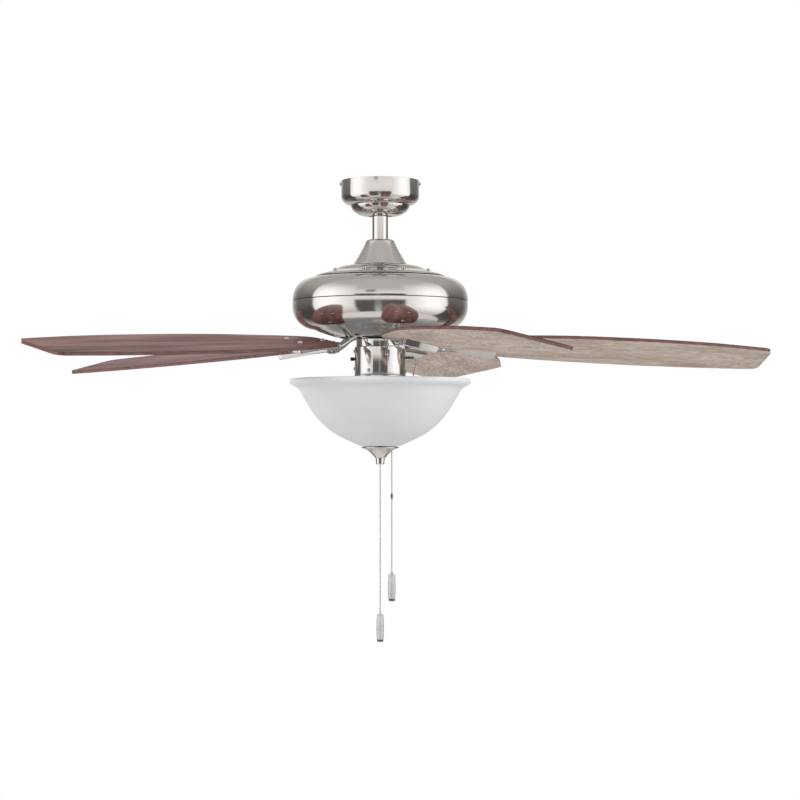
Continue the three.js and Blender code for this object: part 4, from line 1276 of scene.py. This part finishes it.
def edge_drop(distance):
    """How far a rounded lower edge rises, at a distance in from the wall."""
    inside = max(0.0, 1 - distance / LEAF_END.round)
    return LEAF_END.round * (1 - sqrt(1 - inside * inside))


def boss_profile():
    """Three rounded beads in a row, the middle one the widest and the last one tapered."""
    bead = Outline((0, 0), (4.2, 0))
    bead.curve((6.8, 0.4), (7, 3.2), steps=8).curve((6.8, 6), (4.4, 6.6), steps=8).to((4.2, 7.6))
    bead.curve((7.4, 7.8), (7.5, 11), steps=8).curve((7.4, 14.4), (4.6, 14.8), steps=8).to((4.6, 15.6))
    bead.curve((6.4, 15.8), (6.2, 18), steps=6).curve((5.8, 21), (3.4, 24), steps=8)
    return bead.to((0, 24)).points


def blade_iron(i, spoke):
    """A foot, an arm of two strands that slope down to a turned boss, and the leaf under the blade."""
    mesh = bmesh.new()
    half, top = IRON.foot_width / 2, ROTOR.bottom - GAP
    add_slab(mesh, rectangle(*IRON.foot, -half, half, 4), top - IRON.foot_thickness, top, 0.8)
    for side in (-1, 1):
        line = smooth_line([(x, side * y, z) for x, y, z in ARM], 8)
        count = len(line) - 1
        add_sweep(mesh, line, lambda k: (3.3 - 0.4 * k / count, 3.1 + 0.7 * k / count))
    add_turned(mesh, boss_profile(), SMALL, along(*IRON.boss))
    add_leaf(mesh, BLADE_FRAME)
    mesh.transform(spoke)
    piece = finished(f"blade_iron_{i + 1}_casting", mesh, sharp=38)
    dress(piece, "cast_nickel", f"blade_iron_{i + 1}", body="rotor")


def blades():
    for i in range(BLADES):
        spoke = Matrix.Rotation(FIRST_BLADE + 2 * pi * i / BLADES, 4, "Z")
        blade(i, spoke)
        blade_iron(i, spoke)


for build in (
    hanger_bracket, canopy, hanging_rod, coupling_cover, motor_adaptor, supply_cable, shaft_and_bearings,
    stator, rotor, top_plate, motor_housing, collar, switch_housing, switches, light_fitter, center_rod,
    lamps, glass_bowl, finial, blades,
):
    build()


# ---- Stage ---------------------------------------------------------------------------------------
def make_floor():
    """A pale disc that the metal mirrors and that throws light up. Views from below look through it."""
    mesh = bmesh.new()
    bmesh.ops.create_circle(mesh, cap_ends=True, radius=FLOOR.radius, segments=96)
    data = bpy.data.meshes.new("floor")
    mesh.to_mesh(data)
    mesh.free()
    floor = add_object("floor", data)
    floor.location = (0, 0, -FLOOR.drop)
    floor.visible_camera = False
    look = Look("floor_paint")
    look.tones(look.noise(3, 2), (0.76, 0.74, 0.71), (0.8, 0.78, 0.75))
    look.set(Roughness=0.8)
    data.materials.append(look.material)


def make_light(name, azimuth, elevation, distance, size, power):
    """A soft area light that looks at the fan's housing. Neither the camera nor a mirror shows it."""
    data = bpy.data.lights.new(name, "AREA")
    data.shape, data.size, data.energy = "SQUARE", size, power
    light = add_object(name, data)
    a, e = radians(azimuth), radians(elevation)
    direction = Vector((sin(a) * cos(e), -cos(a) * cos(e), sin(e)))
    light.location = direction * distance + Vector((0, 0, LIGHT_AIM))
    light.rotation_euler = direction.to_track_quat("Z", "Y").to_euler()
    light.visible_glossy = False
    light.visible_camera = False


def make_world():
    """A white studio: two bright walls of light at the front's sides, and darker surroundings.

    Azimuth 0 is the side where the camera stands, and positive azimuths are to its right.
    """
    world = bpy.data.worlds.new("studio")
    bpy.context.scene.world = world
    world.use_nodes = True
    tree = world.node_tree
    tree.nodes.clear()
    x, y, z = axes(tree, tree.nodes.new("ShaderNodeTexCoord").outputs["Generated"])
    azimuth = x.math("ARCTAN2", y * -1) * degrees(1)
    elevation = z.math("ARCSINE") * degrees(1)
    side = azimuth.math("ABSOLUTE")
    wall = side.ramp(31, 36) * side.ramp(96, 101, 1.0, 0.0)
    front = side.ramp(31, 36, 1.0, 0.0)
    behind = side.ramp(96, 101)
    glow = elevation.ramp(12, 56, 1.0, 0.0) * elevation.ramp(-52, -8)
    peak = side.ramp(33, 72, 0.38, 0.82) * side.ramp(78, 98, 1.0, 0.72)
    window = elevation.ramp(2, 6) * elevation.ramp(10, 34, 1.0, 0.0)
    below = elevation.ramp(2, 7, 1.0, 0.0)
    crack = azimuth.band(-7, 2, 1.5) * elevation.ramp(-50, 5, 0.5, 0.14)
    stand = azimuth.band(-19, -6, 1.5) * elevation.band(13, 25, 1.5)
    backdrop = side.ramp(135, 174) * elevation.band(-42, 26, 8)
    dim = elevation.ramp(-5, 45, 0.13, 0.48) - elevation.band(-40, -8, 10) * 0.06
    level = wall * (glow * peak + 0.56)
    level = level + front * (window * 0.4 + 0.58 - below * 0.47 + below * crack - stand * 0.5)
    level = level + behind * (dim + backdrop * 0.5)
    # The glow on the walls is white, and the rest is a little warm.
    whiteness = glow * wall
    tinted = tree.nodes.new("ShaderNodeCombineColor")
    for slot, (warm, white) in zip(tinted.inputs, ((1.0, 1.0), (0.968, 1.0), (0.945, 1.02))):
        connect(tree, level * (whiteness * (white - warm) + warm), slot)
    rays = tree.nodes.new("ShaderNodeLightPath").outputs
    lit = blend_colors(tree, rays["Is Glossy Ray"], (0.62, 0.62, 0.63, 1), tinted.outputs[0])
    seen = blend_colors(tree, rays["Is Camera Ray"], lit, (1, 1, 1, 1))
    background = tree.nodes.new("ShaderNodeBackground")
    tree.links.new(seen, background.inputs["Color"])
    output = tree.nodes.new("ShaderNodeOutputWorld")
    tree.links.new(background.outputs[0], output.inputs["Surface"])


make_floor()
make_world()
make_light("left_wall_light", -62, 12, 2.8, 1.8, 50)
make_light("right_wall_light", 62, 12, 2.8, 1.8, 39)
make_light("ceiling_light", 20, 75, 2.4, 1.6, 20)
bpy.context.scene.view_settings.view_transform = "Standard"
